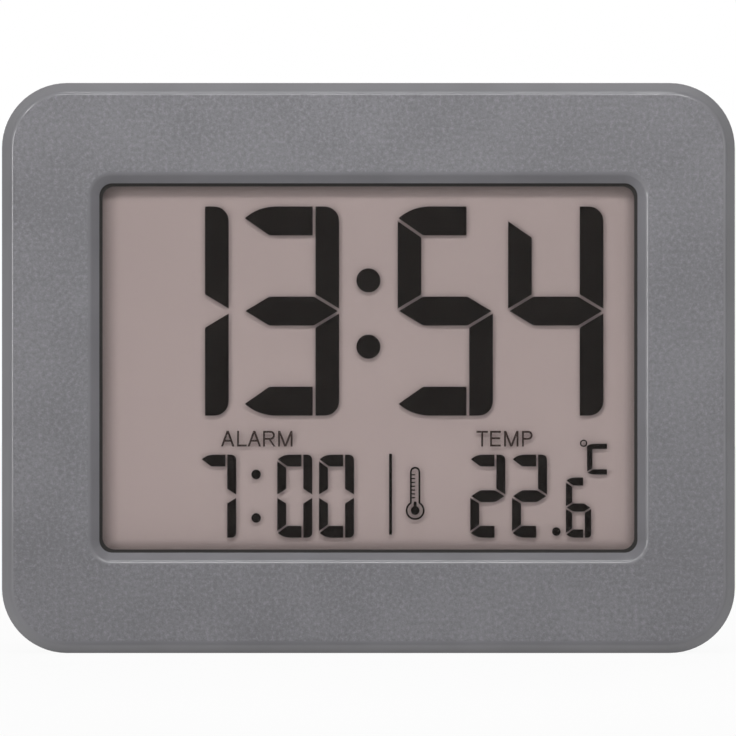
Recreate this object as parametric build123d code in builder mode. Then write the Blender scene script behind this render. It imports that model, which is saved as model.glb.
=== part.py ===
from build123d import *
import os
from math import asin, atan2, cos, degrees, hypot, sin

os.makedirs("parts", exist_ok=True)

# Sizes in millimetres. X runs to the right, Y from the face to the back, Z up, and the origin is the
# middle of the base. Depths are measured back from the flat face, rises up from the face's centre.

# Case
case_width = 180.0
case_height = 140.0
case_corner_radius = 16.0
case_wall = 2.5
bezel_depth = 13.0
face_wall = 3.2
rim_slope_width = 2.5
rim_slope_depth = 4.3
rim_round = 1.5
back_edge_radius = 7.0
seam_chamfer = 0.3
lip_thickness = 1.1
lip_height = 1.6
lip_clearance = 0.15

# Window in the face
face_side_border = 24.0
face_end_border = 24.7
window_corner_radius = 3.2
window_bevel_width = 2.3
window_bevel_depth = 2.4
window_bevel_round = 1.6

# Display stack, from the window back
lcd_side_overlap = 4.0
lcd_end_overlap = 4.7
lcd_ledge = 3.0
lcd_clearance = 0.3
lens_corner_radius = 1.5
gasket_reach = 0.75
gasket_corner_radius = 3.0
gasket_thickness = 0.3
lens_thickness = 1.0
lens_gap = 0.15
polariser_thickness = 0.15
adhesive_thickness = 0.05
film_margin = 0.7
glass_thickness = 0.7
cell_gap = 0.3
seal_width = 1.5
segment_thickness = 0.2
reflector_thickness = 0.2
rib_wall = 1.2

# Digits: room round them, upright and bar strokes, gap between segments, outer corner
mitre_share = 0.42
bend_share = 1.25
display_top_margin = 5.6
display_bottom_margin = 3.6
row_space = 9.6
time_margin = 8.25
time_space = 3.75
colon_space = 14.4
time_upright = 5.8
time_bar = 7.1
time_gap = 0.7
time_corner = 3.9
colon_radius = 2.95
colon_spacing = 16.3
colon_drop = 0.6
small_width = 8.6
small_height = 20.4
small_upright = 2.2
small_bar = 2.9
small_gap = 0.45
small_corner = 1.5
small_space = 1.66
alarm_hour_reach = 42.25
alarm_colon_reach = 33.05
alarm_minute_reach = 23.55
alarm_colon_radius = 1.17
alarm_colon_spacing = 10.7
temperature_inset = 36.65
point_radius = 1.05
point_space = 1.24
point_drop = 8.7
tenth_width = 6.2
tenth_height = 14.8
tenth_upright = 1.55
tenth_bar = 2.0
tenth_gap = 0.4
tenth_corner = 1.1
tenth_space = 1.3
unit_width = 4.9
unit_height = 7.6
unit_upright = 1.3
unit_bar = 1.3
unit_gap = 0.25
unit_corner = 0.8
unit_reach = 4.55
unit_space = 0.7
degree_reach = 3.3
degree_lift = 3.9
degree_radius = 0.9
degree_line = 0.32
divider_x = 5.45
divider_lift = 0.5
divider_width = 0.72
divider_height = 19.9

# Display holder, connector strip and circuit board
holder_thickness = 1.8
holder_margin = 0.6
holder_corner_radius = 5.0
holder_bar = 12.0
holder_ear_reach = 5.0
holder_ear_radius = 3.6
holder_screw_rise = 28.0
strip_inset = 15.0
strip_width = 2.0
strip_clearance = 0.3
board_overlap = 3.325
board_height = 30.0
board_thickness = 1.6
board_gap = 1.3
board_screw_inset = 4.0
board_boss_gap = 2.4
chip_radius = 6.0
chip_height = 1.8
crystal_radius = 1.0
crystal_length = 6.2
crystal_gap = 3.0
crystal_drop = 8.0
capacitor_radius = 2.5
capacitor_height = 6.5
capacitor_edge_radius = 0.4
capacitor_lift = 9.0
sensor_radius = 1.5
sensor_leg_radius = 0.3
sensor_bead_length = 3.6
sensor_drop = 14.0
sensor_reach = 8.0

# Screws and bosses
screw_inset = 13.5
screw_radius = 1.15
screw_head_radius = 2.4
screw_head_height = 1.6
screw_length = 10.0
thread_clearance = 0.05
screw_hole_clearance = 0.45
case_boss_radius = 3.4
case_boss_rise = 3.0
screw_tube_radius = 4.8
screw_access_radius = 3.2
screw_floor = 2.0
pilot_spare = 1.0
small_screw_length = 5.0
small_boss_radius = 3.0
small_pilot_spare = 0.5

# Battery bay, cells, contacts and door
cell_diameter = 14.5
cell_length = 50.5
nub_radius = 2.75
nub_height = 1.2
cell_edge_radius = 0.6
cell_clearance = 0.4
bay_room = 2.6
bay_gap = 3.5
bay_wall = 1.6
bay_floor = 1.5
contact_thickness = 0.4
contact_size = 11.0
contact_dimple_radius = 2.2
contact_dimple_height = 0.6
leaf_room = 4.6
leaf_width = 6.0
leaf_span = 9.0
lead_radius = 0.65
lead_bend = 2.0
lead_clearance = 0.25
lead_standoff = 3.0
door_thickness = 2.0
door_ledge = 1.2
door_gap = 0.3
door_corner_radius = 1.5
door_hook_width = 8.0
door_hook_spread = 36.0
door_hook_thickness = 1.2
door_hook_reach = 2.0
door_hook_gap = 0.2
latch_width = 12.0
latch_length = 8.0
latch_slit = 0.8
latch_nub_height = 1.4
latch_groove_depth = 0.5

# Keys and alarm slider in the back
key_width = 10.0
key_height = 6.4
key_proud = 1.0
key_end_room = 8.0
key_lift = 9.5
key_clearance = 0.3
key_flange_width = 12.6
key_flange_height = 9.0
key_flange_thickness = 1.0
key_seat_gap = 0.2
key_stem_radius = 1.7
key_travel = 0.8
key_travel_spare = 0.1
switch_size = 6.0
switch_height = 3.5
plunger_radius = 1.75
plunger_height = 0.8
knob_width = 4.2
knob_height = 3.4
knob_proud = 1.2
slider_travel = 3.5
slider_flange_width = 15.0
slider_flange_height = 8.0
slider_stem_width = 4.4
slider_stem_height = 3.6
slide_switch_width = 10.0
slide_switch_height = 4.4
slide_switch_rise = 3.6
lever_size = 1.6
lever_height = 2.4
lever_clearance = 0.15

# Desk foot
foot_width = 76.0
foot_tip_width = 62.0
foot_thickness = 4.0
foot_skin = 1.8
foot_corner_radius = 7.0
foot_edge_radius = 1.2
foot_hinge_height = 10.5
foot_hinge_inset = 2.5
foot_barrel_radius = 2.3
foot_clearance = 0.4
foot_rib = 1.8
pivot_radius = 1.3
pivot_fit = 0.06
pivot_length = 2.2
tub_wall = 2.4
tub_floor = 1.8
desk_gap = 0.05
notch_width = 18.0
notch_height = 6.0
notch_depth = 4.0

# Hanger, sounder and vents
keyhole_radius = 4.2
keyhole_slot_width = 4.4
keyhole_slot_length = 8.0
keyhole_drop = 17.0
pocket_depth = 5.0
pocket_margin = 1.5
pocket_wall = 1.2
sounder_radius = 13.5
sounder_thickness = 0.3
ceramic_radius = 10.0
ceramic_thickness = 0.25
sounder_ring_wall = 1.2
sounder_cavity = 0.9
sounder_hole_radius = 1.1
sounder_hole_ring = 5.0
sounder_lead_offset = 2.0
vent_width = 18.0
vent_height = 1.8
vent_pitch = 4.5
vent_count = 5

# Window, display panel and digits that follow from the sizes
window_width = case_width - 2 * face_side_border
window_height = case_height - 2 * face_end_border
lcd_width = window_width + 2 * lcd_side_overlap
lcd_height = window_height + 2 * lcd_end_overlap
time_width = (window_width - 2 * time_margin - 2 * time_space - colon_space) / 4
time_height = window_height - display_top_margin - row_space - small_height - display_bottom_margin
time_pitch = time_width + time_space
time_colon_pitch = time_width + colon_space
time_rise = window_height / 2 - display_top_margin - time_height / 2
colon_rise = time_rise - colon_drop
small_pitch = small_width + small_space
small_rise = display_bottom_margin + small_height / 2 - window_height / 2
alarm_hour_x = divider_x - alarm_hour_reach
alarm_colon_x = divider_x - alarm_colon_reach
alarm_minute_x = divider_x - alarm_minute_reach
temperature_x = window_width / 2 - temperature_inset
point_x = temperature_x + small_pitch + small_width / 2 + point_space + point_radius
point_rise = small_rise - point_drop
tenth_x = point_x + point_radius + tenth_space + tenth_width / 2
tenth_rise = small_rise - (small_height - tenth_height) / 2
unit_x = tenth_x + unit_reach
unit_rise = tenth_rise + tenth_height / 2 + unit_space + unit_height / 2
degree_x = unit_x - degree_reach
degree_rise = unit_rise + degree_lift
divider_rise = small_rise + divider_lift

# Depths and positions that follow from the sizes
lens_depth = face_wall + gasket_thickness
polariser_depth = lens_depth + lens_thickness + lens_gap
front_glass_depth = polariser_depth + polariser_thickness + adhesive_thickness
cell_layer_depth = front_glass_depth + glass_thickness
rear_glass_depth = cell_layer_depth + cell_gap
reflector_depth = rear_glass_depth + glass_thickness + adhesive_thickness
holder_depth = reflector_depth + reflector_thickness
board_depth = holder_depth + holder_thickness
board_back = board_depth + board_thickness
bay_depth = board_depth + bay_room + bay_floor
case_depth = bay_depth + cell_diameter + 2 * cell_clearance + door_thickness
panel_height = lcd_height - lcd_ledge
panel_rise = -lcd_ledge / 2
film_width = lcd_width - 2 * film_margin
film_height = panel_height - 2 * film_margin
rib_width = lcd_width + 2 * (lcd_clearance + rib_wall)
rib_height = lcd_height + 2 * (lcd_clearance + rib_wall)
holder_width = rib_width + 2 * holder_margin
holder_height = rib_height + 2 * holder_margin
holder_screw_x = rib_width / 2 + holder_ear_reach
strip_rise = lcd_height / 2 - lcd_ledge / 2
strip_length = lcd_width - 2 * strip_inset
inner_back = case_depth - case_wall
wall_root = case_depth - case_wall / 2
boss_end = bezel_depth + case_boss_rise
screw_seat = boss_end + screw_floor
case_screw_x = case_width / 2 - screw_inset
case_screw_rise = case_height / 2 - screw_inset
pilot_radius = screw_radius + thread_clearance
screw_hole_radius = screw_radius + screw_hole_clearance

bay_length = cell_length + leaf_room + 2 * contact_thickness + contact_dimple_height
bay_height = 2 * cell_diameter + 3 * cell_clearance
bay_end = bay_length / 2
side_room = case_width / 2 - case_wall - bay_end - bay_wall
sounder_x = -(bay_end + bay_wall + side_room / 2)
board_width = 2 * (board_overlap - sounder_x)
board_screw_rise = holder_height / 2 + board_boss_gap + small_boss_radius
board_bottom = board_screw_rise + board_screw_inset - board_height
bay_top = board_bottom - board_gap - bay_wall
bay_rise = bay_top - bay_height / 2
cell_depth = case_depth - door_thickness - cell_clearance - cell_diameter / 2
cell_offset = (cell_diameter + cell_clearance) / 2
opening_top = bay_top + door_ledge
opening_bottom = bay_rise - bay_height / 2 - door_ledge
opening_width = bay_length + 2 * door_ledge
door_width = opening_width - 2 * door_gap
door_bead = door_thickness / 2
door_axis_depth = case_depth - door_bead
door_axis_rise = opening_top - door_gap - door_bead
door_bottom = opening_bottom + door_gap
hook_outer = inner_back - door_hook_gap
hook_inner = hook_outer - door_hook_thickness
hook_top = opening_top + door_hook_reach
hook_bottom = door_axis_rise - door_bead
hook_swing = hypot(door_axis_depth - hook_inner, hook_top - door_axis_rise)
notch_front = door_axis_depth - hook_swing - cell_clearance

board_rise = board_bottom + board_height / 2
board_screw_x = board_width / 2 - 1.5 * board_screw_inset
plunger_end = board_back + switch_height + plunger_height
key_pitch = (board_width / 2 - key_end_room) / 3
key_rise = board_bottom + key_lift
keyhole_rise = case_height / 2 - keyhole_drop
slider_x = 3 * key_pitch
key_places = {
    "time_button": -3 * key_pitch,
    "alarm_button": -2 * key_pitch,
    "unit_button": -key_pitch,
    "up_button": key_pitch,
    "down_button": 2 * key_pitch,
}

foot_axis_depth = case_depth - foot_hinge_inset
foot_reach_in = max(foot_barrel_radius, foot_thickness - foot_hinge_inset)
foot_floor = foot_axis_depth - foot_reach_in - foot_clearance
recess_top = bay_rise - bay_height / 2 - bay_wall - bay_gap - tub_wall - notch_height
foot_length = recess_top + case_height / 2 - foot_hinge_height - foot_clearance
foot_tip_reach = foot_length - foot_edge_radius
foot_tip_drop = foot_hinge_inset - foot_edge_radius
foot_tip_fall = foot_hinge_height - foot_edge_radius - desk_gap
foot_angle = asin(foot_tip_fall / hypot(foot_tip_reach, foot_tip_drop))
foot_angle -= atan2(foot_tip_drop, foot_tip_reach)
foot_lip = foot_hinge_inset * (1 + sin(foot_angle)) / cos(foot_angle) + foot_clearance / 2
recess_bottom = foot_hinge_height - foot_lip - case_height / 2
recess_height = recess_top - recess_bottom
recess_rise = (recess_top + recess_bottom) / 2
recess_width = foot_width + 2 * foot_clearance
sounder_depth = inner_back - sounder_cavity - sounder_thickness


def point(x, depth, rise):
    """A place in the shared frame from its x, depth and rise."""
    return (x, depth - case_depth / 2, rise + case_height / 2)


def depth_plane(depth):
    """Plane parallel to the face: local x right, local y up, normal to the front."""
    return Plane(origin=point(0, depth, 0), x_dir=(1, 0, 0), z_dir=(0, -1, 0))


def side_plane(x):
    """Plane square to X: local x is depth, local y is rise, normal to the right."""
    return Plane(origin=point(x, 0, 0), x_dir=(0, 1, 0), z_dir=(1, 0, 0))


def level_plane(rise):
    """Level plane: local x right, local y is depth, normal up."""
    return Plane(origin=point(0, 0, rise), x_dir=(1, 0, 0), z_dir=(0, 0, 1))


def foot_plane(lift):
    """Plane of the open foot: local y runs out along it, lifted off the hinge axis."""
    out = (0, cos(foot_angle), -sin(foot_angle))
    up = Vector(0, sin(foot_angle), cos(foot_angle))
    axis = Vector(*point(0, foot_axis_depth, foot_hinge_height - case_height / 2))
    return Plane(origin=axis + up * lift, x_dir=(1, 0, 0), z_dir=Vector(1, 0, 0).cross(Vector(*out)))


LIT = {"0": "abcdef", "1": "bc", "2": "abged", "3": "abgcd", "4": "fgbc", "5": "afgcd", "6": "afgedc",
       "7": "abc", "C": "hl"}


def digit(character, width, height, upright, bar, gap, corner):
    """Lit segments of one digit, centred on its cell.

    The cell is cut along mitre lines into segments that meet, and each is drawn in by half the gap.
    Letters h and l make a C: a hook of the top bar and the whole left side, and a bar below, both as
    long as the cell is wide.
    """
    half_w = (width + gap) / 2
    half_h = (height + gap) / 2
    inner = half_w - upright - gap
    shoulder = half_h - bar - gap
    mitre = half_h - mitre_share * (bar + gap)
    waist = (bar + gap) / 2
    bend = -half_w + bend_share * (upright + gap)
    segments = Sketch()
    for letter in LIT[character]:
        with BuildSketch() as segment:
            end = half_w if letter in "hl" else inner
            with BuildLine():
                if letter in "adl":
                    Polyline((-half_w, mitre), (-inner, shoulder), (end, shoulder), (end, half_h),
                             (bend, half_h))
                    TangentArc((bend, half_h), (-half_w, mitre), tangent=(-1, 0))
                elif letter == "h":
                    Polyline((-half_w, mitre), (-half_w, -mitre), (-inner, -shoulder), (-inner, shoulder),
                             (end, shoulder), (end, half_h), (bend, half_h))
                    TangentArc((bend, half_h), (-half_w, mitre), tangent=(-1, 0))
                elif letter in "bc":
                    Polyline((half_w, half_h - corner), (half_w, 0), (inner, waist), (inner, half_h),
                             (half_w - corner, half_h))
                    TangentArc((half_w - corner, half_h), (half_w, half_h - corner), tangent=(1, 0))
                elif letter in "ef":
                    Polyline((-half_w, mitre), (-inner, shoulder), (-inner, waist), (-half_w, 0), close=True)
                else:
                    Polyline((-half_w, 0), (-inner, waist), (inner, waist), (half_w, 0),
                             (inner, -waist), (-inner, -waist), close=True)
            make_face()
            offset(amount=-gap / 2, kind=Kind.INTERSECTION, mode=Mode.REPLACE)
            if letter in "cdel":
                mirror(about=Plane.XZ, mode=Mode.REPLACE)
        segments = segments + segment.sketch
    return segments


def time_digit(character):
    """A tall digit of the time."""
    return digit(character, time_width, time_height, time_upright, time_bar, time_gap, time_corner)


def small_digit(character):
    """A digit of the alarm or of the whole degrees."""
    return digit(character, small_width, small_height, small_upright, small_bar, small_gap, small_corner)


segment_depth = cell_layer_depth + (cell_gap - segment_thickness) / 2

# Front bezel: sloping rim, bevelled window, display rib, bosses and the lip that locates the cover
with BuildPart() as front_bezel:
    with BuildSketch(depth_plane(bezel_depth)):
        RectangleRounded(case_width, case_height, case_corner_radius)
    extrude(amount=bezel_depth)
    chamfer(front_bezel.faces().sort_by(Axis.Y)[-1].edges(), length=seam_chamfer)
    face = front_bezel.faces().sort_by(Axis.Y)[0]
    chamfer(face.edges(), length=rim_slope_width, length2=rim_slope_depth, reference=face)
    fillet(front_bezel.faces().sort_by(Axis.Y)[0].edges(), radius=rim_round)
    with BuildSketch(depth_plane(bezel_depth)):
        RectangleRounded(case_width - 2 * case_wall, case_height - 2 * case_wall,
                         case_corner_radius - case_wall)
    extrude(amount=bezel_depth - face_wall, mode=Mode.SUBTRACT)
    with BuildSketch(depth_plane(face_wall)):
        RectangleRounded(window_width, window_height, window_corner_radius)
    extrude(amount=face_wall, mode=Mode.SUBTRACT)
    face = front_bezel.faces().sort_by(Axis.Y)[0]
    chamfer(face.inner_wires()[0].edges(), length=window_bevel_width, length2=window_bevel_depth,
            reference=face)
    fillet(front_bezel.faces().sort_by(Axis.Y)[0].inner_wires()[0].edges(), radius=window_bevel_round)
    with BuildSketch(depth_plane(face_wall)):
        Rectangle(rib_width, rib_height)
        Rectangle(lcd_width + 2 * lcd_clearance, lcd_height + 2 * lcd_clearance, mode=Mode.SUBTRACT)
    extrude(amount=-(reflector_depth - face_wall))
    with BuildSketch(depth_plane(face_wall)):
        with GridLocations(2 * case_screw_x, 2 * case_screw_rise, 2, 2):
            Circle(case_boss_radius)
    extrude(amount=-(boss_end - face_wall))
    with BuildSketch(depth_plane(face_wall)):
        with GridLocations(2 * holder_screw_x, 2 * holder_screw_rise, 2, 2):
            Circle(small_boss_radius)
    extrude(amount=-(holder_depth - face_wall))
    with BuildSketch(depth_plane(face_wall)):
        with Locations((0, board_screw_rise)):
            with GridLocations(board_screw_x, 1, 3, 1):
                Circle(small_boss_radius)
    extrude(amount=-(board_depth - face_wall))
    with BuildSketch(depth_plane(boss_end)):
        with GridLocations(2 * case_screw_x, 2 * case_screw_rise, 2, 2):
            Circle(pilot_radius)
    extrude(amount=screw_length - screw_floor + pilot_spare, mode=Mode.SUBTRACT)
    with BuildSketch(depth_plane(board_depth)):
        with GridLocations(2 * holder_screw_x, 2 * holder_screw_rise, 2, 2):
            Circle(pilot_radius)
        with Locations((0, board_screw_rise)):
            with GridLocations(board_screw_x, 1, 3, 1):
                Circle(pilot_radius)
    extrude(amount=small_screw_length + small_pilot_spare, mode=Mode.SUBTRACT)
    with BuildSketch(depth_plane(bezel_depth)):
        RectangleRounded(case_width - 2 * (case_wall - lip_thickness),
                         case_height - 2 * (case_wall - lip_thickness),
                         case_corner_radius - case_wall + lip_thickness)
        RectangleRounded(case_width - 2 * case_wall, case_height - 2 * case_wall,
                         case_corner_radius - case_wall, mode=Mode.SUBTRACT)
    extrude(amount=-lip_height)
front_bezel.part.label = "front_bezel"
export_step(front_bezel.part, "parts/front_bezel.step")

# Lens and its gasket
with BuildPart() as lens_gasket:
    with BuildSketch(depth_plane(face_wall)):
        RectangleRounded(lcd_width, lcd_height, lens_corner_radius)
        RectangleRounded(window_width - 2 * gasket_reach, window_height - 2 * gasket_reach,
                         gasket_corner_radius, mode=Mode.SUBTRACT)
    extrude(amount=-gasket_thickness)
lens_gasket.part.label = "lens_gasket"
export_step(lens_gasket.part, "parts/lens_gasket.step")

with BuildPart() as display_lens:
    with BuildSketch(depth_plane(lens_depth)):
        RectangleRounded(lcd_width, lcd_height, lens_corner_radius)
    extrude(amount=-lens_thickness)
display_lens.part.label = "display_lens"
export_step(display_lens.part, "parts/display_lens.step")

# Liquid-crystal panel: the front glass is taller, and its bare ledge takes the connector strip
with BuildPart() as lcd_front_polariser:
    with BuildSketch(depth_plane(polariser_depth)):
        with Locations((0, panel_rise)):
            Rectangle(film_width, film_height)
    extrude(amount=-polariser_thickness)
lcd_front_polariser.part.label = "lcd_front_polariser"
export_step(lcd_front_polariser.part, "parts/lcd_front_polariser.step")

with BuildPart() as lcd_front_glass:
    with BuildSketch(depth_plane(front_glass_depth)):
        Rectangle(lcd_width, lcd_height)
    extrude(amount=-glass_thickness)
lcd_front_glass.part.label = "lcd_front_glass"
export_step(lcd_front_glass.part, "parts/lcd_front_glass.step")

with BuildPart() as lcd_edge_seal:
    with BuildSketch(depth_plane(cell_layer_depth)):
        with Locations((0, panel_rise)):
            Rectangle(film_width, film_height)
            Rectangle(film_width - 2 * seal_width, film_height - 2 * seal_width, mode=Mode.SUBTRACT)
    extrude(amount=-cell_gap)
lcd_edge_seal.part.label = "lcd_edge_seal"
export_step(lcd_edge_seal.part, "parts/lcd_edge_seal.step")

with BuildPart() as lcd_rear_glass:
    with BuildSketch(depth_plane(rear_glass_depth)):
        with Locations((0, panel_rise)):
            Rectangle(lcd_width, panel_height)
    extrude(amount=-glass_thickness)
lcd_rear_glass.part.label = "lcd_rear_glass"
export_step(lcd_rear_glass.part, "parts/lcd_rear_glass.step")

with BuildPart() as lcd_reflector:
    with BuildSketch(depth_plane(reflector_depth)):
        with Locations((0, panel_rise)):
            Rectangle(film_width, film_height)
    extrude(amount=-reflector_thickness)
lcd_reflector.part.label = "lcd_reflector"
export_step(lcd_reflector.part, "parts/lcd_reflector.step")

# Lit segments, inside the gap between the two glasses
with BuildPart() as time_digits:
    with BuildSketch(depth_plane(segment_depth)):
        for place, character in zip((-1, -0.5, 0.5, 1), "1354"):
            side = 1 if place > 0 else -1
            outer = time_pitch if abs(place) == 1 else 0
            with Locations((side * (time_colon_pitch / 2 + outer), time_rise)):
                add(time_digit(character))
    extrude(amount=-segment_thickness)
time_digits.part.label = "time_digits"
export_step(time_digits.part, "parts/time_digits.step")

with BuildPart() as time_colon:
    with BuildSketch(depth_plane(segment_depth)):
        with Locations((0, colon_rise)):
            with GridLocations(1, colon_spacing, 1, 2):
                Circle(colon_radius)
    extrude(amount=-segment_thickness)
time_colon.part.label = "time_colon"
export_step(time_colon.part, "parts/time_colon.step")

with BuildPart() as alarm_digits:
    with BuildSketch(depth_plane(segment_depth)):
        with Locations((alarm_hour_x, small_rise)):
            add(small_digit("7"))
        with Locations((alarm_minute_x, small_rise), (alarm_minute_x + small_pitch, small_rise)):
            add(small_digit("0"))
        with Locations((alarm_colon_x, small_rise)):
            with GridLocations(1, alarm_colon_spacing, 1, 2):
                Circle(alarm_colon_radius)
    extrude(amount=-segment_thickness)
alarm_digits.part.label = "alarm_digits"
export_step(alarm_digits.part, "parts/alarm_digits.step")

with BuildPart() as temperature_digits:
    with BuildSketch(depth_plane(segment_depth)):
        with Locations((temperature_x, small_rise), (temperature_x + small_pitch, small_rise)):
            add(small_digit("2"))
        with Locations((tenth_x, tenth_rise)):
            add(digit("6", tenth_width, tenth_height, tenth_upright, tenth_bar, tenth_gap, tenth_corner))
        with Locations((point_x, point_rise)):
            Circle(point_radius)
    extrude(amount=-segment_thickness)
temperature_digits.part.label = "temperature_digits"
export_step(temperature_digits.part, "parts/temperature_digits.step")

with BuildPart() as degree_unit:
    with BuildSketch(depth_plane(segment_depth)):
        with Locations((unit_x, unit_rise)):
            add(digit("C", unit_width, unit_height, unit_upright, unit_bar, unit_gap, unit_corner))
        with Locations((degree_x, degree_rise)):
            Circle(degree_radius)
            Circle(degree_radius - degree_line, mode=Mode.SUBTRACT)
    extrude(amount=-segment_thickness)
degree_unit.part.label = "degree_unit"
export_step(degree_unit.part, "parts/degree_unit.step")

with BuildPart() as display_divider:
    with BuildSketch(depth_plane(segment_depth)):
        with Locations((divider_x, divider_rise)):
            Rectangle(divider_width, divider_height)
    extrude(amount=-segment_thickness)
display_divider.part.label = "display_divider"
export_step(display_divider.part, "parts/display_divider.step")

# Holder that clamps the panel to the bezel, with a slot for the connector strip
with BuildPart() as lcd_holder:
    with BuildSketch(depth_plane(holder_depth)):
        RectangleRounded(holder_width, holder_height, holder_corner_radius)
        with GridLocations(2 * holder_screw_x, 2 * holder_screw_rise, 2, 2):
            SlotCenterToCenter(2 * holder_ear_reach, 2 * holder_ear_radius)
        Rectangle(holder_width - 2 * holder_bar, holder_height - 2 * holder_bar, mode=Mode.SUBTRACT)
        with Locations((0, strip_rise)):
            Rectangle(strip_length + 2 * strip_clearance, strip_width + 2 * strip_clearance,
                      mode=Mode.SUBTRACT)
        with GridLocations(2 * holder_screw_x, 2 * holder_screw_rise, 2, 2):
            Circle(screw_hole_radius, mode=Mode.SUBTRACT)
    extrude(amount=-holder_thickness)
lcd_holder.part.label = "lcd_holder"
export_step(lcd_holder.part, "parts/lcd_holder.step")

with BuildPart() as holder_screws:
    with BuildSketch(depth_plane(board_depth)):
        with GridLocations(2 * holder_screw_x, 2 * holder_screw_rise, 2, 2):
            Circle(screw_head_radius)
    extrude(amount=-screw_head_height)
    with BuildSketch(depth_plane(board_depth)):
        with GridLocations(2 * holder_screw_x, 2 * holder_screw_rise, 2, 2):
            Circle(screw_radius)
    extrude(amount=small_screw_length)
holder_screws.part.label = "holder_screws"
export_step(holder_screws.part, "parts/holder_screws.step")

with BuildPart() as connector_strip:
    with BuildSketch(depth_plane(cell_layer_depth)):
        with Locations((0, strip_rise)):
            Rectangle(strip_length, strip_width)
    extrude(amount=-(board_depth - cell_layer_depth))
connector_strip.part.label = "connector_strip"
export_step(connector_strip.part, "parts/connector_strip.step")

# Circuit board and what is soldered to it
with BuildPart() as main_board:
    with BuildSketch(depth_plane(board_depth)):
        with Locations((0, board_rise)):
            RectangleRounded(board_width, board_height, board_screw_inset / 2)
        with Locations((0, board_screw_rise)):
            with GridLocations(board_screw_x, 1, 3, 1):
                Circle(screw_hole_radius, mode=Mode.SUBTRACT)
    extrude(amount=-board_thickness)
main_board.part.label = "main_board"
export_step(main_board.part, "parts/main_board.step")

with BuildPart() as board_screws:
    with BuildSketch(depth_plane(board_back)):
        with Locations((0, board_screw_rise)):
            with GridLocations(board_screw_x, 1, 3, 1):
                Circle(screw_head_radius)
    extrude(amount=-screw_head_height)
    with BuildSketch(depth_plane(board_back)):
        with Locations((0, board_screw_rise)):
            with GridLocations(board_screw_x, 1, 3, 1):
                Circle(screw_radius)
    extrude(amount=small_screw_length)
board_screws.part.label = "board_screws"
export_step(board_screws.part, "parts/board_screws.step")

with BuildPart() as controller_chip:
    with BuildSketch(depth_plane(board_back)):
        with Locations((0, key_rise)):
            Circle(chip_radius)
    extrude(amount=-chip_height)
    fillet(controller_chip.faces().sort_by(Axis.Y)[-1].edges(), radius=0.8 * chip_height)
controller_chip.part.label = "controller_chip"
export_step(controller_chip.part, "parts/controller_chip.step")

with BuildPart() as quartz_crystal:
    with BuildSketch(side_plane(chip_radius + crystal_gap)):
        with Locations((board_back + crystal_radius + thread_clearance, board_screw_rise - crystal_drop)):
            Circle(crystal_radius)
    extrude(amount=crystal_length)
quartz_crystal.part.label = "quartz_crystal"
export_step(quartz_crystal.part, "parts/quartz_crystal.step")

with BuildPart() as capacitors:
    with BuildSketch(depth_plane(board_back)):
        with Locations((0, key_rise + capacitor_lift)):
            with GridLocations(3 * key_pitch, 1, 2, 1):
                Circle(capacitor_radius)
    extrude(amount=-capacitor_height)
    fillet(capacitors.faces().sort_by(Axis.Y)[-2:].edges(), radius=capacitor_edge_radius)
capacitors.part.label = "capacitors"
export_step(capacitors.part, "parts/capacitors.step")

sensor_x = -sounder_x
leg_rise = board_bottom + lead_standoff
sensor_rise = leg_rise - sensor_drop
with BuildPart() as temperature_sensor:
    for side in (-1, 1):
        leg_x = sensor_x + side * sensor_radius / 2
        with BuildLine() as leg:
            FilletPolyline(point(leg_x, board_back, leg_rise),
                           point(leg_x, board_back + sensor_reach, leg_rise),
                           point(leg_x, board_back + sensor_reach, sensor_rise), radius=lead_bend)
        with BuildSketch(Plane(origin=leg.line @ 0, z_dir=leg.line % 0)):
            Circle(sensor_leg_radius)
        sweep(path=leg.line)
    with BuildSketch(level_plane(sensor_rise)):
        with Locations((sensor_x, board_back + sensor_reach)):
            Circle(sensor_radius)
    bead = extrude(amount=-sensor_bead_length)
    fillet(bead.edges().group_by(Axis.Z)[0], radius=0.8 * sensor_radius)
temperature_sensor.part.label = "temperature_sensor"
export_step(temperature_sensor.part, "parts/temperature_sensor.step")

with BuildPart() as key_switches:
    for x in key_places.values():
        with BuildSketch(depth_plane(board_back)):
            with Locations((x, key_rise)):
                Rectangle(switch_size, switch_size)
        extrude(amount=-switch_height)
        with BuildSketch(depth_plane(board_back + switch_height)):
            with Locations((x, key_rise)):
                Circle(plunger_radius)
        extrude(amount=-plunger_height)
key_switches.part.label = "key_switches"
export_step(key_switches.part, "parts/key_switches.step")

slot_middle = slider_x + slider_travel / 2
slide_switch_back = board_back + slide_switch_rise
with BuildPart() as alarm_switch:
    with BuildSketch(depth_plane(board_back)):
        with Locations((slot_middle, key_rise)):
            Rectangle(slide_switch_width, slide_switch_height)
    extrude(amount=-slide_switch_rise)
    with BuildSketch(depth_plane(slide_switch_back)):
        with Locations((slot_middle, key_rise)):
            Rectangle(slider_travel + lever_size + 2 * lever_clearance, lever_size + 2 * lever_clearance)
    extrude(amount=slide_switch_rise / 2, mode=Mode.SUBTRACT)
alarm_switch.part.label = "alarm_switch"
export_step(alarm_switch.part, "parts/alarm_switch.step")

lever_root = slide_switch_back - slide_switch_rise / 2 + lever_clearance
with BuildPart() as alarm_switch_lever:
    with BuildSketch(depth_plane(lever_root)):
        with Locations((slider_x, key_rise)):
            Rectangle(lever_size, lever_size)
    extrude(amount=-(slide_switch_back + lever_height - lever_root))
alarm_switch_lever.part.label = "alarm_switch_lever"
export_step(alarm_switch_lever.part, "parts/alarm_switch_lever.step")

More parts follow.
